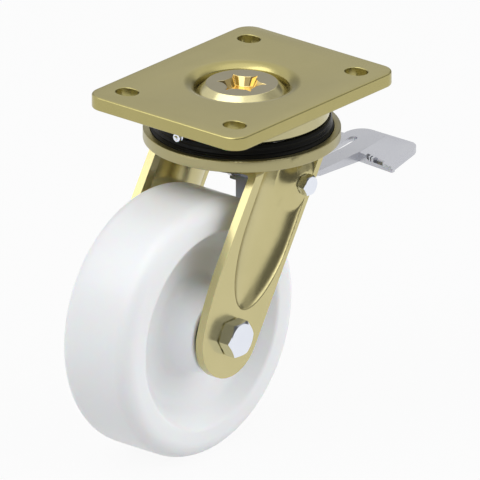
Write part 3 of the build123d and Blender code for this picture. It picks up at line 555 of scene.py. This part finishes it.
@dataclass(frozen=True)
class StarRecess:
    """The star pressed into the kingpin: broad walls with a narrow point at each corner.

    Attributes:
        points: Number of points.
        tip_r: Radius of the points.
        shoulder_r: Radius where a point leaves the broad walls.
        shoulder_deg: Half the angle that a point takes up at its shoulders.
        waist_r: Radius of the broad walls' middles.
        turn_deg: Angle of the first point.
        deep: Depth of the recess.
        shrink: Size of its floor as a share of its rim.
        segments: Steps round it.
        below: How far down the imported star's own faces are taken out.
    """

    points: int = 6
    tip_r: float = 13.9
    shoulder_r: float = 10.6
    shoulder_deg: float = 9.375
    waist_r: float = 9.4
    turn_deg: float = 30.0
    deep: float = 5.2
    shrink: float = 0.72
    segments: int = 192
    below: float = 9.0

    def rim(self) -> list[Point]:
        """The rim's points, evenly spaced by angle.

        Returns:
            Points of X and Y.
        """
        part = 360 / self.points
        keys = [(0.0, self.tip_r), (self.shoulder_deg, self.shoulder_r), (part / 2, self.waist_r),
                (part - self.shoulder_deg, self.shoulder_r), (part, self.tip_r)]
        spots = []
        for index in range(self.segments):
            turn = 360 * index / self.segments
            at = (turn - self.turn_deg) % part
            low = max(n for n in range(len(keys) - 1) if keys[n][0] <= at + 1e-6)
            (a, ra), (b, rb) = keys[low], keys[low + 1]
            span, gone = math.radians(b - a), math.radians(at - a)
            reach = ra * rb * math.sin(span) / (ra * math.sin(gone) + rb * math.sin(span - gone))
            spots.append((reach * math.cos(math.radians(turn)), reach * math.sin(math.radians(turn))))
        return spots

    def press(self, mesh: bmesh.types.BMesh, face_r: float, top: float) -> None:
        """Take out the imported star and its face, and press this one in.

        Args:
            mesh: The kingpin's mesh, in millimetres.
            face_r: Radius of its flat face.
            top: Height of that face.
        """
        slack = 0.05

        def inside(face: bmesh.types.BMFace) -> bool:
            """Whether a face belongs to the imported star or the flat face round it."""
            return all(math.hypot(v.co.x, v.co.y) < face_r + slack and v.co.z > top - self.below
                       for v in face.verts)

        bmesh.ops.delete(mesh, geom=[face for face in mesh.faces if inside(face)], context="FACES")
        edge_loop = [edge for edge in mesh.edges if edge.is_boundary]
        rings = [[mesh.verts.new((x * size, y * size, z)) for x, y in self.rim()]
                 for size, z in ((1.0, top), (self.shrink, top - self.deep))]
        middle = mesh.verts.new((0, 0, top - self.deep))
        rim_edges = []
        for index in range(self.segments):
            after = (index + 1) % self.segments
            mesh.faces.new((rings[0][index], rings[0][after], rings[1][after], rings[1][index]))
            mesh.faces.new((rings[1][index], rings[1][after], middle))
            rim_edges.append(mesh.edges.get((rings[0][index], rings[0][after])))
        bmesh.ops.bridge_loops(mesh, edges=edge_loop + rim_edges)
        bmesh.ops.recalc_face_normals(mesh, faces=mesh.faces)


@dataclass
class SwivelHead:
    """Kingpin, races, seal, swivel ring, nipple and balls.

    Attributes:
        edge: Width of the broken edges.
        star: The star in the kingpin.
        star_edge: Width of the rolls in the star.
        face_r: Radius of the kingpin's flat face.
        segments: Steps round the turned pieces.
        seal_foot_h: Height of the seal's foot in its channel.
        seal_fold: How deep the seal's two folds are.
        seal_lip: How far the lip stands in from the widest fold.
        seal_wall: Width of the seal's foot.
        nipple_long: Length of the nipple outside the race.
    """

    edge: float = 0.35
    star: StarRecess = StarRecess()
    star_edge: float = 0.4
    face_r: float = 20.0
    segments: int = 160
    seal_foot_h: float = 3.2
    seal_fold: float = 1.2
    seal_lip: float = 1.6
    seal_wall: float = 4.6
    nipple_long: float = 9.2

    def kingpin(self, castor: Castor) -> None:
        """Make the kingpin with its star.

        Args:
            castor: The frame to build on.
        """
        top = castor.box("kingpin")[1].z
        slack = 0.1
        reach = self.star.tip_r + slack

        def region(face: bmesh.types.BMFace) -> int:
            """Two on the flat face, one in the star and nought elsewhere."""
            spot = face.calc_center_median()
            punched = math.hypot(spot.x, spot.y) < reach and spot.z > top - 2 * self.star.deep
            return 2 if spot.z > top - slack / 10 else int(punched)

        def width(edge: bmesh.types.BMEdge) -> float:
            """The width of the roll on an edge."""
            star = all(math.hypot(vert.co.x, vert.co.y) < reach for vert in edge.verts)
            return self.star_edge if star else self.edge

        # The flat face takes the darker copy of the kingpin's zinc: painted shade for the dark
        # reflection on that face.
        castor.rework("kingpin_head", "kingpin", "mount", "kingpin_finish",
                      [KINGPIN_ZINC, PUNCHED_ZINC, HEAD_FACE_PAINTED_SHADE_ZINC], width, region,
                      lambda mesh: self.star.press(mesh, self.face_r, top))

    def seal_outline(self, low: Vector, high: Vector) -> list[Point]:
        """The seal's section: a foot, two round folds and a lip against the fixed race.

        Args:
            low: Lowest corner of the seal's node.
            high: Highest corner of it.

        Returns:
            Points of radius and height.
        """
        out = high.x
        fold = out - self.seal_fold
        inner = out - self.seal_wall
        foot = low.z + self.seal_foot_h
        lip = out - self.seal_lip
        return rounded([
            Corner(inner, low.z), Corner(out, low.z), Corner(out, foot, 0.5),
            Corner(fold, foot + 0.9, 0.3), Corner(out - 0.45, foot + 2.2, 0.7),
            Corner(fold - 0.1, foot + 3.7, 0.35), Corner(lip + 0.7, foot + 5.0, 0.6),
            Corner(lip, high.z, 0.25, 3), Corner(inner + 1.0, high.z), Corner(inner, foot + 1.5),
        ])

    def nipple_outline(self) -> list[Point]:
        """The nipple's section from its thread to its nose, outwards from the race."""
        return rounded([
            Corner(0.0, -5.5), Corner(1.6, -5.5), Corner(1.6, 0.0), Corner(1.9, 0.0),
            Corner(1.9, 2.9, 0.2, 2), Corner(2.6, 3.1, 0.3, 3), Corner(2.6, 5.2, 0.25, 3),
            Corner(2.1, 5.7, 0.2, 2), Corner(2.1, 6.3, 0.2, 2), Corner(2.5, 6.7, 0.3, 3),
            Corner(2.4, 7.8, 0.4, 3), Corner(1.2, 7.9, 0.2, 2), Corner(1.3, 8.4, 0.4, 3),
            Corner(0.9, self.nipple_long - 0.05, 0.4, 4), Corner(0.0, self.nipple_long),
        ])

    def build(self, castor: Castor) -> None:
        """Make the swivel head.

        Args:
            castor: The frame to build on.
        """
        self.kingpin(castor)
        castor.rework("fixed_race", "upper_race", "mount", "race_finish", [RACE_ZINC], self.edge)
        castor.rework("fork_ring", "swivel_ring", "fork", "race_finish", [RING_ZINC], self.edge)
        origin = Vector((0, 0, 0))
        seal = turned("folded_seal", round_rings(self.seal_outline(*castor.box("swivel_seal"))),
                      self.segments, axis_place(Axis.SWIVEL, origin), SEAL_RUBBER)
        castor.stand_in(seal, "fork", "seal_rubber", "swivel_seal")
        low, high = castor.box("grease_nipple")
        root = Vector((0, low.y + self.nipple_long, (low.z + high.z) / 2))
        nipple = turned("nipple_turned", round_rings(self.nipple_outline()), 48,
                        axis_place(Axis.NIPPLE, root), BRIGHT_ZINC)
        castor.stand_in(nipple, "mount", "bolt_finish", "grease_nipple")
        castor.dress(RACE_ZINC, "lower_race")
        castor.dress(BALL_STEEL, "upper_balls", "lower_balls")


def eased(value: float, start: float, end: float) -> float:
    """Nought before start and one after end, with a smooth change between."""
    share = max(0.0, min(1.0, (value - start) / (end - start)))
    return share * share * (3 - 2 * share)


@dataclass
class Groove:
    """The pressed groove of a leg, as a depth over the leg's outer face.

    Attributes:
        tip: Place of its nose, as Y and Z.
        crown: Where its middle line meets the crown's top, as Y and Z.
        pivot: Place of the pedal's pivot, as Y and Z.
        half_w: Half its width.
        deep: Its depth.
        nose: Length of its rounded nose.
        wall_power: Under one, the walls are steeper than a plain arc's.
        roll: Roundness of its rim.
        boss_r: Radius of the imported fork's boss round the pivot.
        pad_in: Radius of the flat pad round the pivot.
        pad_out: Radius where the pad has run out.
        bend: Radius of the fork's bend above the leg.
        run_out: Heights between which the walls ease into the bend.
    """

    tip: Point
    crown: Point
    pivot: Point
    half_w: float = 21.2
    deep: float = 7.2
    nose: float = 46.0
    wall_power: float = 0.55
    roll: float = 0.45
    boss_r: float = 7.05
    pad_in: float = 5.3
    pad_out: float = 17.0
    bend: float = 6.5
    run_out: Point = (-38.5, -36.5)

    def arc_depth(self, y: float, z: float) -> float:
        """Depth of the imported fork's groove, below nought outside its rim.

        Args:
            y: Place along Y.
            z: Height.

        Returns:
            The depth under the leg's face.
        """
        lean = math.atan2(self.crown[0] - self.tip[0], self.crown[1] - self.tip[1])
        ahead, up = y - self.tip[0], z - self.tip[1]
        along = ahead * math.sin(lean) + up * math.cos(lean)
        across = ahead * math.cos(lean) - up * math.sin(lean)
        offset = (self.half_w ** 2 - self.deep ** 2) / (2 * self.deep)
        nose_arc = (self.nose ** 2 + self.deep ** 2) / (2 * self.deep)
        back = max(0.0, self.nose - along)
        reach = offset + self.deep - nose_arc + math.sqrt(max(0.0, nose_arc ** 2 - back ** 2))
        return math.sqrt(max(0.0, reach ** 2 - across ** 2)) - offset

    def fall(self, z: float) -> float:
        """How far the plain leg's face lies in at a height, in the bend under the crown."""
        rise = max(0.0, z - self.crown[1] + self.bend)
        return self.bend - math.sqrt(max(0.0, self.bend ** 2 - rise ** 2))

    def packed(self, y: float, z: float) -> float:
        """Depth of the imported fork's outer surface under the leg's face."""
        return max(self.fall(z), self.arc_depth(y, z))

    def from_pivot(self, y: float, z: float) -> float:
        """Distance of a place from the pivot's axis."""
        return math.hypot(y - self.pivot[0], z - self.pivot[1])

    def depth(self, y: float, z: float) -> float:
        """Depth of the pressed surface.

        Args:
            y: Place along Y.
            z: Height.

        Returns:
            The depth under the leg's face.
        """
        share = self.arc_depth(y, z) / self.deep
        steep = math.copysign(abs(share) ** self.wall_power, share) * self.deep - self.fall(z)
        pressed = self.fall(z) + (steep + math.sqrt(steep ** 2 + 4 * self.roll ** 2)) / 2
        far = self.from_pivot(y, z)
        pressed *= eased(far, self.pad_in, self.pad_out)
        plain = self.packed(y, z) if far > self.boss_r else 0.0
        return pressed + (plain - pressed) * eased(z, *self.run_out)


@dataclass
class PressedFork:
    """The fork with its pressed grooves.

    Attributes:
        edge: Width of the broken edges.
        tip_ahead: How far the grooves' noses lie ahead of the axle.
        tip_up: How far they lie above it.
        crown_y: Where the grooves' middle lines meet the crown's top.
        fine: Size of the mesh at a groove's rim.
        coarse: Size of the mesh elsewhere on a leg's face.
        rim_band: Depth on either side of the rim that has the fine mesh.
        pad_band: Radius round the pivot that has it.
        spare: How much longer than its size an edge may be.
        rounds: Most rounds of splitting.
    """

    edge: float = 0.4
    tip_ahead: float = 9.8
    tip_up: float = 13.1
    crown_y: float = 1.7
    fine: float = 0.45
    coarse: float = 1.8
    rim_band: float = 1.1
    pad_band: float = 7.5
    spare: float = 1.3
    rounds: int = 9

    def shape(self, castor: Castor) -> Shape:
        """The pressing step for both legs.

        Args:
            castor: The frame to build on.

        Returns:
            A function that presses the copied mesh.
        """
        high = castor.box("fork")[1]
        axle, pivot = castor.middle("axle_tube"), castor.middle("pivot_sleeve")
        groove = Groove((axle.y + self.tip_ahead, axle.z + self.tip_up), (self.crown_y, high.z),
                        (pivot.y, pivot.z))
        face_x, top = high.x, groove.run_out[1]
        skin_gap, facing, weld = 0.3, 0.02, 0.02

        def outer(vert: bmesh.types.BMVert) -> bool:
            """Whether a point lies on a leg's outer surface."""
            return abs(vert.co.x) > face_x - groove.packed(vert.co.y, vert.co.z) - skin_gap

        def press(mesh: bmesh.types.BMesh) -> None:
            """Press both legs.

            Args:
                mesh: The fork's mesh, in millimetres.
            """
            soft = mesh.faces.layers.int[SOFT_LAYER]
            skin = [face for face in mesh.faces
                    if abs(face.normal.x) > facing and all(outer(vert) for vert in face.verts)]
            edges = list(dict.fromkeys(edge for face in skin for edge in face.edges))
            verts = list(dict.fromkeys(vert for face in skin for vert in face.verts))
            for face in skin:
                face[soft] = 1
            bmesh.ops.bisect_plane(mesh, geom=verts + edges + skin, plane_co=(0, 0, top),
                                   plane_no=(0, 0, 1))
            for face in mesh.faces:
                face[soft] = int(face[soft] and face.calc_center_median().z < top)
            self.refine(mesh, groove, soft)
            for vert in dict.fromkeys(vert for face in mesh.faces if face[soft] for vert in face.verts):
                x = face_x - groove.depth(vert.co.y, vert.co.z)
                vert.co.x = math.copysign(x, vert.co.x)
            bmesh.ops.remove_doubles(mesh, verts=mesh.verts, dist=weld)

        return press

    def longest(self, edge: bmesh.types.BMEdge, groove: Groove) -> float:
        """How long an edge of the pressed faces may be.

        Args:
            edge: The edge.
            groove: The groove that is pressed.

        Returns:
            The greatest length, in millimetres.
        """
        middle = (edge.verts[0].co + edge.verts[1].co) / 2
        rim = (abs(groove.arc_depth(middle.y, middle.z)) < self.rim_band
               or groove.from_pivot(middle.y, middle.z) < self.pad_band)
        return (self.fine if rim else self.coarse) * self.spare

    def refine(self, mesh: bmesh.types.BMesh, groove: Groove, soft: bmesh.types.BMLayerItem) -> None:
        """Split the pressed faces' edges until they are short.

        Args:
            mesh: The fork's mesh.
            groove: The groove that is pressed.
            soft: The layer that marks the pressed faces.
        """
        for _ in range(self.rounds):
            marked = [face for face in mesh.faces if face[soft]]
            bmesh.ops.triangulate(mesh, faces=[face for face in marked if len(face.verts) > 3])
            edges = dict.fromkeys(edge for face in mesh.faces if face[soft] for edge in face.edges)
            long = [edge for edge in edges if edge.calc_length() > self.longest(edge, groove)]
            if not long:
                return
            bmesh.ops.bisect_edges(mesh, edges=long, cuts=1)

    def build(self, castor: Castor) -> None:
        """Make the fork.

        Args:
            castor: The frame to build on.
        """
        castor.rework("fork_pressing", "fork", "fork", "fork_finish", [FORK_ZINC], self.edge,
                      shape=self.shape(castor))


@dataclass
class NylonWheel:
    """The wheel with its bearings.

    Attributes:
        segments: Steps round the wheel.
        tread_flat: Half width of the tread's level band.
        tread_fall: How much lower the tread is at its edge.
        tread_edge: Radius of the round shoulder.
        rim: Height of the rim's side face from the tread inwards.
        rim_lip: Radius of the rim's inner edge.
        floor_in: How far the dish's floor lies in from the rim's side.
        out_slope: How much the dish's outer wall slopes, measured on the radius.
        out_fillet: Radius at the foot of the outer wall.
        in_slope: How much the hub's outside slopes, measured on the radius.
        in_fillet: Radius at the foot of the hub.
        hub_wall: Wall of the hub outside the bearing.
        hub_edge: Radius of the hub's outer edge.
        shoulder: Height of the bearing's inner shoulder.
        hub_proud: How far the hub stands out from the rim's side.
        seat_gap: Gap round the bearing.
    """

    segments: int = 240
    tread_flat: float = 15.0
    tread_fall: float = 0.75
    tread_edge: float = 10.0
    rim: float = 17.5
    rim_lip: float = 3.0
    floor_in: float = 14.5
    out_slope: float = 9.0
    out_fillet: float = 12.0
    in_slope: float = 2.5
    in_fillet: float = 7.0
    hub_wall: float = 2.4
    hub_edge: float = 1.5
    shoulder: float = 2.45
    hub_proud: float = 5.0
    seat_gap: float = 0.05

    def outline(self, castor: Castor) -> list[Point]:
        """The wheel's section, from the frame's own radii and widths.

        Args:
            castor: The frame to build on.

        Returns:
            Points of radius and height along the axle.
        """
        low, high = castor.box("wheel")
        ring_low, ring_high = castor.box("bearing_outer_ring_right")
        radius, hub = (high.z - low.z) / 2, high.x
        seat, seat_x = (ring_high.z - ring_low.z) / 2 + self.seat_gap, ring_low.x
        half = hub - self.hub_proud
        rim, floor = radius - self.rim, half - self.floor_in
        foot = seat + self.hub_wall + self.in_slope
        right = [
            Corner(radius, self.tread_flat), Corner(radius - self.tread_fall, half, self.tread_edge, 14),
            Corner(rim, half, self.rim_lip, 8), Corner(rim - self.out_slope, floor, self.out_fillet, 12),
            Corner(foot, floor, self.in_fillet, 10), Corner(seat + self.hub_wall, hub, self.hub_edge, 5),
            Corner(seat, hub, 0.3, 2), Corner(seat, seat_x), Corner(seat - self.shoulder, seat_x),
        ]
        left = [Corner(c.u, -c.v, c.radius, c.steps) for c in reversed(right)]
        return rounded(right + left)

    def build(self, castor: Castor) -> None:
        """Make the wheel.

        Args:
            castor: The frame to build on.
        """
        middle = castor.middle("wheel")
        wheel = turned("moulded_wheel", round_rings(self.outline(castor)), self.segments,
                       axis_place(Axis.AXLE, middle), WHEEL_NYLON)
        castor.stand_in(wheel, "wheel", "wheel_plastic", "wheel")
        for side in Side:
            castor.dress(GROUND_STEEL, "bearing_inner_ring_" + side.value,
                         "bearing_outer_ring_" + side.value, "bearing_shields_" + side.value)
            castor.dress(BALL_STEEL, "bearing_balls_" + side.value)
            castor.dress(BRIGHT_ZINC, "hub_washer_" + side.value)


@dataclass(frozen=True)
class BoltForm:
    """Sizes of a hexagon bolt with its nut, set through both legs along X.

    Attributes:
        flats: Width across the flats of head and nut.
        shank_r: Radius of the shank.
        thread_r: Radius of the threaded end.
        pitch: Pitch of the thread.
        face_share: Radius of the flat end faces, as a share of the flats.
        seat: Height of the washer face under the head.
        segments: Steps round the bolt.
        slope: How steeply the corners are turned off.
        turns: Turns of the thread.
        chamfer: Width of the chamfer in the nut's mouth.
        gap: Gap between the thread and the nut.
        sharp: Edges over this angle in degrees stay sharp.
    """

    flats: float
    shank_r: float
    thread_r: float
    pitch: float
    face_share: float = 0.475
    seat: float = 0.5
    segments: int = 96
    slope: float = 0.577
    turns: int = 10
    chamfer: float = 0.6
    gap: float = 0.05
    sharp: float = 24.0

    def bolt(self, tall: float, end: float) -> list[Ring]:
        """The bolt: chamfered head, shank and thread ridges at its free end.

        Args:
            tall: Place of the head's top, from its seat.
            end: Place of the free end, from there.

        Returns:
            Its rings.
        """
        face_r = self.flats * self.face_share
        rings = [Ring(0, tall), Ring(face_r, tall), Ring(face_r, tall, self.flats, self.slope),
                 Ring(face_r, self.seat, self.flats), Ring(face_r, self.seat), Ring(face_r, 0.0),
                 Ring(self.shank_r, 0.0), Ring(self.shank_r, end / 2), Ring(self.thread_r, end / 2)]
        height = end + self.turns * self.pitch
        while height > end + 1.2 * self.pitch:
            rings += [Ring(self.thread_r, height),
                      Ring(self.thread_r - self.pitch / 2, height - self.pitch / 2)]
            height -= self.pitch
        return rings + [Ring(self.thread_r, end + self.pitch),
                        Ring(self.thread_r - self.pitch * 0.8, end), Ring(0, end)]

    def nut(self, tall: float) -> list[Ring]:
        """The nut, turned off at both ends.

        Args:
            tall: Its height.

        Returns:
            Its rings.
        """
        face_r, bore = self.flats * self.face_share, self.thread_r + self.gap
        mouth = bore + self.chamfer
        return [Ring(mouth, tall), Ring(face_r, tall), Ring(face_r, tall, self.flats, self.slope),
                Ring(face_r, 0.0, self.flats, -self.slope), Ring(face_r, 0.0), Ring(mouth, 0.0),
                Ring(bore, self.chamfer), Ring(bore, tall - self.chamfer)]

    def fit(self, castor: Castor, name: str) -> None:
        """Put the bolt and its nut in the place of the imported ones.

        Args:
            castor: The frame to build on.
            name: First word of the nodes' names.
        """
        for kind in ("bolt", "nut"):
            node = name + "_" + kind
            low, high = castor.box(node)
            middle = castor.middle(node)
            if kind == "bolt":
                middle.x = castor.box("fork")[1].x
                rings = self.bolt(high.x - middle.x, low.x - middle.x)
            else:
                middle.x = low.x
                rings = self.nut(high.x - low.x)
            place = axis_place(Axis.AXLE, middle)
            piece = turned(node + "_turned", rings, self.segments, place, BRIGHT_ZINC, self.sharp)
            castor.stand_in(piece, "fork", kind + "_finish", node)


@dataclass
class AxleSet:
    """Axle bolt, nut, washer, tube and spacer.

    Attributes:
        form: Sizes of the bolt and its nut.
        edge: Width of the washer's broken edges.
    """

    form: BoltForm = BoltForm(19.0, 7.0, 6.0, 1.0, seat=0.7)
    edge: float = 0.3

    def build(self, castor: Castor) -> None:
        """Make the axle.

        Args:
            castor: The frame to build on.
        """
        self.form.fit(castor, "axle")
        castor.rework("axle_washer_pressed", "axle_washer", "fork", "nut_finish", [BRIGHT_ZINC],
                      self.edge)
        castor.dress(GROUND_STEEL, "axle_tube", "inner_spacer")


@dataclass
class FootBrake:
    """The pedal and its pivot.

    Attributes:
        form: Sizes of the pivot bolt and its nut.
        edge: Width of the broken edges.
        fold: Width of the roll where the arm's and toe's sheet is folded down.
        fold_long: Folds are longer than this.
    """

    form: BoltForm = BoltForm(10.6, 3.9, 3.9, 0.8)
    edge: float = 0.3
    fold: float = 1.3
    fold_long: float = 8.0

    def width(self, edge: bmesh.types.BMEdge) -> float:
        """The width of the roll on an edge of the pedal.

        Args:
            edge: The edge.

        Returns:
            The width in millimetres.
        """
        normals = [face.normal for face in edge.link_faces]
        top = max(normal.z for normal in normals)
        side = min(abs(normal.z) for normal in normals)
        long = edge.calc_length() > self.fold_long
        return self.fold if long and top > 0.9 and side < 0.3 else self.edge

    def build(self, castor: Castor) -> None:
        """Make the foot brake.

        Args:
            castor: The frame to build on.
        """
        castor.rework("pedal_pressing", "brake_pedal", "pedal", "pedal_finish", [PEDAL_ZINC], self.width)
        self.form.fit(castor, "pivot")
        castor.dress(BRIGHT_ZINC, "pivot_sleeve")
        for side in Side:
            castor.dress(BRIGHT_ZINC, "pivot_spacer_" + side.value, "spring_washer_" + side.value)


# Studio


@dataclass(frozen=True)
class RoomPatch:
    """A soft-edged patch of the room that polished metal mirrors.

    Attributes:
        towards: Direction of its middle from the castor.
        core: Half angle of its even core, in degrees.
        reach: Half angle where it has faded out, in degrees.
        level: What it adds to the room's level there. Below nought it darkens.
    """

    towards: tuple[float, float, float]
    core: float
    reach: float
    level: float

    def add_to(self, tree: bpy.types.NodeTree, direction: bpy.types.NodeSocket,
               total: Fed) -> bpy.types.NodeSocket:
        """Add the patch to the room's level.

        Args:
            tree: The world's nodes.
            direction: The direction looked in.
            total: The level so far.

        Returns:
            The level with this patch.
        """
        near = add_node(tree, "VectorMath")
        near.operation = "DOT_PRODUCT"
        feed(tree, near.inputs[0], direction)
        feed(tree, near.inputs[1], Vector(self.towards).normalized())
        fade = add_node(tree, "MapRange", Value=near.outputs["Value"],
                        From_Min=math.cos(math.radians(self.reach)),
                        From_Max=math.cos(math.radians(self.core)), To_Max=self.level)
        fade.interpolation_type = "SMOOTHSTEP"
        return through(tree, "Math", total, fade.outputs["Result"], step="ADD")


@dataclass(frozen=True)
class Lamp:
    """A square soft lamp that faces the castor.

    Attributes:
        name: Name of the lamp.
        place: Where it hangs, in metres.
        size: Side of the square in metres.
        power: Power in watts.
        in_metal: Whether glossy surfaces mirror the lamp.
    """

    name: str
    place: tuple[float, float, float]
    size: float
    power: float
    in_metal: bool = True

    def hang(self, aim: Vector) -> None:
        """Hang the lamp.

        Args:
            aim: The point that it faces, in metres.
        """
        data = bpy.data.lights.new(self.name, "AREA")
        data.size = self.size
        data.energy = self.power
        lamp = bpy.data.objects.new(self.name, data)
        bpy.context.scene.collection.objects.link(lamp)
        lamp.visible_glossy = self.in_metal
        lamp.location = self.place
        lamp.rotation_mode = "QUATERNION"
        lamp.rotation_quaternion = (aim - Vector(self.place)).to_track_quat("-Z", "Y")


@dataclass
class Studio:
    """Floor, world, lamps and camera.

    Attributes:
        azimuth: Camera azimuth in degrees, nought looking along +Y.
        elevation: Camera height above the horizon in degrees.
        distance: Camera distance in metres.
        frame_width: Width of the picture at the object, in metres.
        aim_right: How far right of the origin the picture's middle lies, in millimetres.
        aim_up: How far above the origin it lies, in millimetres.
        floor_gap: Gap between the wheel and the floor, in millimetres.
        floor_half: Half the floor's side, in millimetres.
        floor_glow: Share of the floor's look that its shadow leaves white.
        ambient: Level of the even light from all round.
        mirrored: Level of the room that metal mirrors, away from its patches.
        darkest: Lowest level of that room.
        patches: Brighter and darker patches of that room.
        lamps: The lamps.
    """

    azimuth: float = 39.9
    elevation: float = 21.95
    distance: float = 11.0
    frame_width: float = 0.26563
    aim_right: float = -1.05
    aim_up: float = -87.69
    floor_gap: float = 0.3
    floor_half: float = 6000.0
    floor_glow: float = 0.93
    ambient: float = 0.5
    mirrored: float = 0.95
    darkest: float = 0.1
    patches: tuple[RoomPatch, ...] = (
        RoomPatch((0.93, -0.32, 0.2), 22.0, 50.0, -0.85),
        RoomPatch((0.1, -0.15, 1.0), 20.0, 45.0, 0.5),
        RoomPatch((0.6, 0.6, 0.3), 22.0, 42.0, -0.55),
        RoomPatch((-0.82, 0.5, 0.24), 6.0, 24.0, -0.6),
        RoomPatch((-0.3, 0.92, 0.24), 6.0, 24.0, -0.6),
        RoomPatch((0.1, 1.0, 0.04), 8.0, 26.0, -0.6),
    )
    lamps: tuple[Lamp, ...] = (
        Lamp("key", (-0.5, -1.4, 1.9), 2.4, 32.0),
        Lamp("fill", (1.7, 1.0, 0.9), 2.4, 28.0, in_metal=False),
    )

    def place_camera(self) -> None:
        """Set up the long lens camera at the picture's viewing angle."""
        a, e = math.radians(self.azimuth), math.radians(self.elevation)
        right = Vector((math.cos(a), math.sin(a), 0))
        back = Vector((math.sin(a) * math.cos(e), -math.cos(a) * math.cos(e), math.sin(e)))
        up = back.cross(right)
        data = bpy.data.cameras.new("long_lens")
        data.sensor_width = 36.0
        data.lens = data.sensor_width * self.distance / self.frame_width
        data.clip_start, data.clip_end = 1.0, 30.0
        camera = bpy.data.objects.new("long_lens", data)
        bpy.context.scene.collection.objects.link(camera)
        aim = (right * self.aim_right + up * self.aim_up) * MM
        camera.location = aim + back * self.distance
        camera.rotation_mode = "QUATERNION"
        camera.rotation_quaternion = (-back).to_track_quat("-Z", "Y")
        bpy.context.scene.camera = camera

    @staticmethod
    def seen_by(tree: bpy.types.NodeTree, *kinds: str) -> bpy.types.NodeSocket:
        """One where a ray is of one of these kinds, and nought elsewhere.

        Args:
            tree: The nodes to add to.
            kinds: Outputs of the light path, such as Is Camera Ray.

        Returns:
            The socket that holds the answer.
        """
        ray = add_node(tree, "LightPath")
        total = ray.outputs[kinds[0]]
        for kind in kinds[1:]:
            total = through(tree, "Math", total, ray.outputs[kind], step="MAXIMUM")
        return total

    def lay_floor(self, level: float) -> None:
        """Lay the pale floor, which shows white and keeps a soft shadow.

        Args:
            level: Height of the floor in millimetres.
        """
        mesh = bmesh.new()
        bmesh.ops.create_grid(mesh, x_segments=1, y_segments=1, size=self.floor_half)
        bmesh.ops.translate(mesh, verts=mesh.verts, vec=(0, 0, level))
        pale = Finish("floor_paper", (208, 208, 208), (206, 206, 206), roughness=0.9)
        floor = finish_mesh("studio_floor", mesh, [pale])
        tree = floor.data.materials[0].node_tree
        glow = add_node(tree, "Emission", Color=(1.0, 1.0, 1.0, 1.0), Strength=1.0)
        seen = self.seen_by(tree, "Is Camera Ray", "Is Glossy Ray", "Is Transmission Ray")
        share = through(tree, "Math", seen, self.floor_glow, step="MULTIPLY")
        shown = through(tree, "MixShader", share, tree.nodes["Principled BSDF"].outputs[0],
                        glow.outputs[0])
        tree.links.new(shown, tree.nodes["Material Output"].inputs["Surface"])
        floor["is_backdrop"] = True

    def set_world(self) -> None:
        """Light the room evenly, with a white background and the patches that metal mirrors."""
        world = bpy.data.worlds.new("studio")
        bpy.context.scene.world = world
        world.use_nodes = True
        tree = world.node_tree
        even_light = tree.nodes["Background"]
        even_light.inputs["Color"].default_value = (0.96, 0.98, 1.0, 1.0)
        even_light.inputs["Strength"].default_value = self.ambient
        place = add_node(tree, "TexCoord")
        total: Fed = self.mirrored
        for patch in self.patches:
            total = patch.add_to(tree, place.outputs["Generated"], total)
        level = through(tree, "Math", total, self.darkest, step="MAXIMUM")
        room = add_node(tree, "Background", Color=(1.0, 1.0, 1.0, 1.0), Strength=level)
        white = add_node(tree, "Background", Color=(1.0, 1.0, 1.0, 1.0), Strength=1.0)
        mirrors = self.seen_by(tree, "Is Glossy Ray")
        lit = through(tree, "MixShader", mirrors, even_light.outputs[0], room.outputs[0])
        seen = self.seen_by(tree, "Is Camera Ray", "Is Transmission Ray")
        shown = through(tree, "MixShader", seen, lit, white.outputs[0])
        tree.links.new(shown, tree.nodes["World Output"].inputs["Surface"])

    def build(self, low: Vector, high: Vector) -> None:
        """Set up the whole studio.

        Args:
            low: The castor's lowest corner, in metres.
            high: Its highest corner, in metres.
        """
        bpy.context.scene.view_settings.view_transform = "Standard"
        self.set_world()
        self.lay_floor(low.z / MM - self.floor_gap)
        for lamp in self.lamps:
            lamp.hang((low + high) / 2)
        self.place_camera()


def main() -> None:
    """Build the castor's looks in order."""
    logging.basicConfig(level=logging.INFO, format="%(name)s: %(message)s")
    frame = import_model()
    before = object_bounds()
    castor = Castor(frame["nodes"])
    for part in (PlateSet(), SwivelHead(), PressedFork(), NylonWheel(), AxleSet(), FootBrake()):
        part.build(castor)
    Studio().build(Vector(before[0]), Vector(before[1]))
    bpy.context.view_layer.update()


if __name__ == "__main__":
    main()
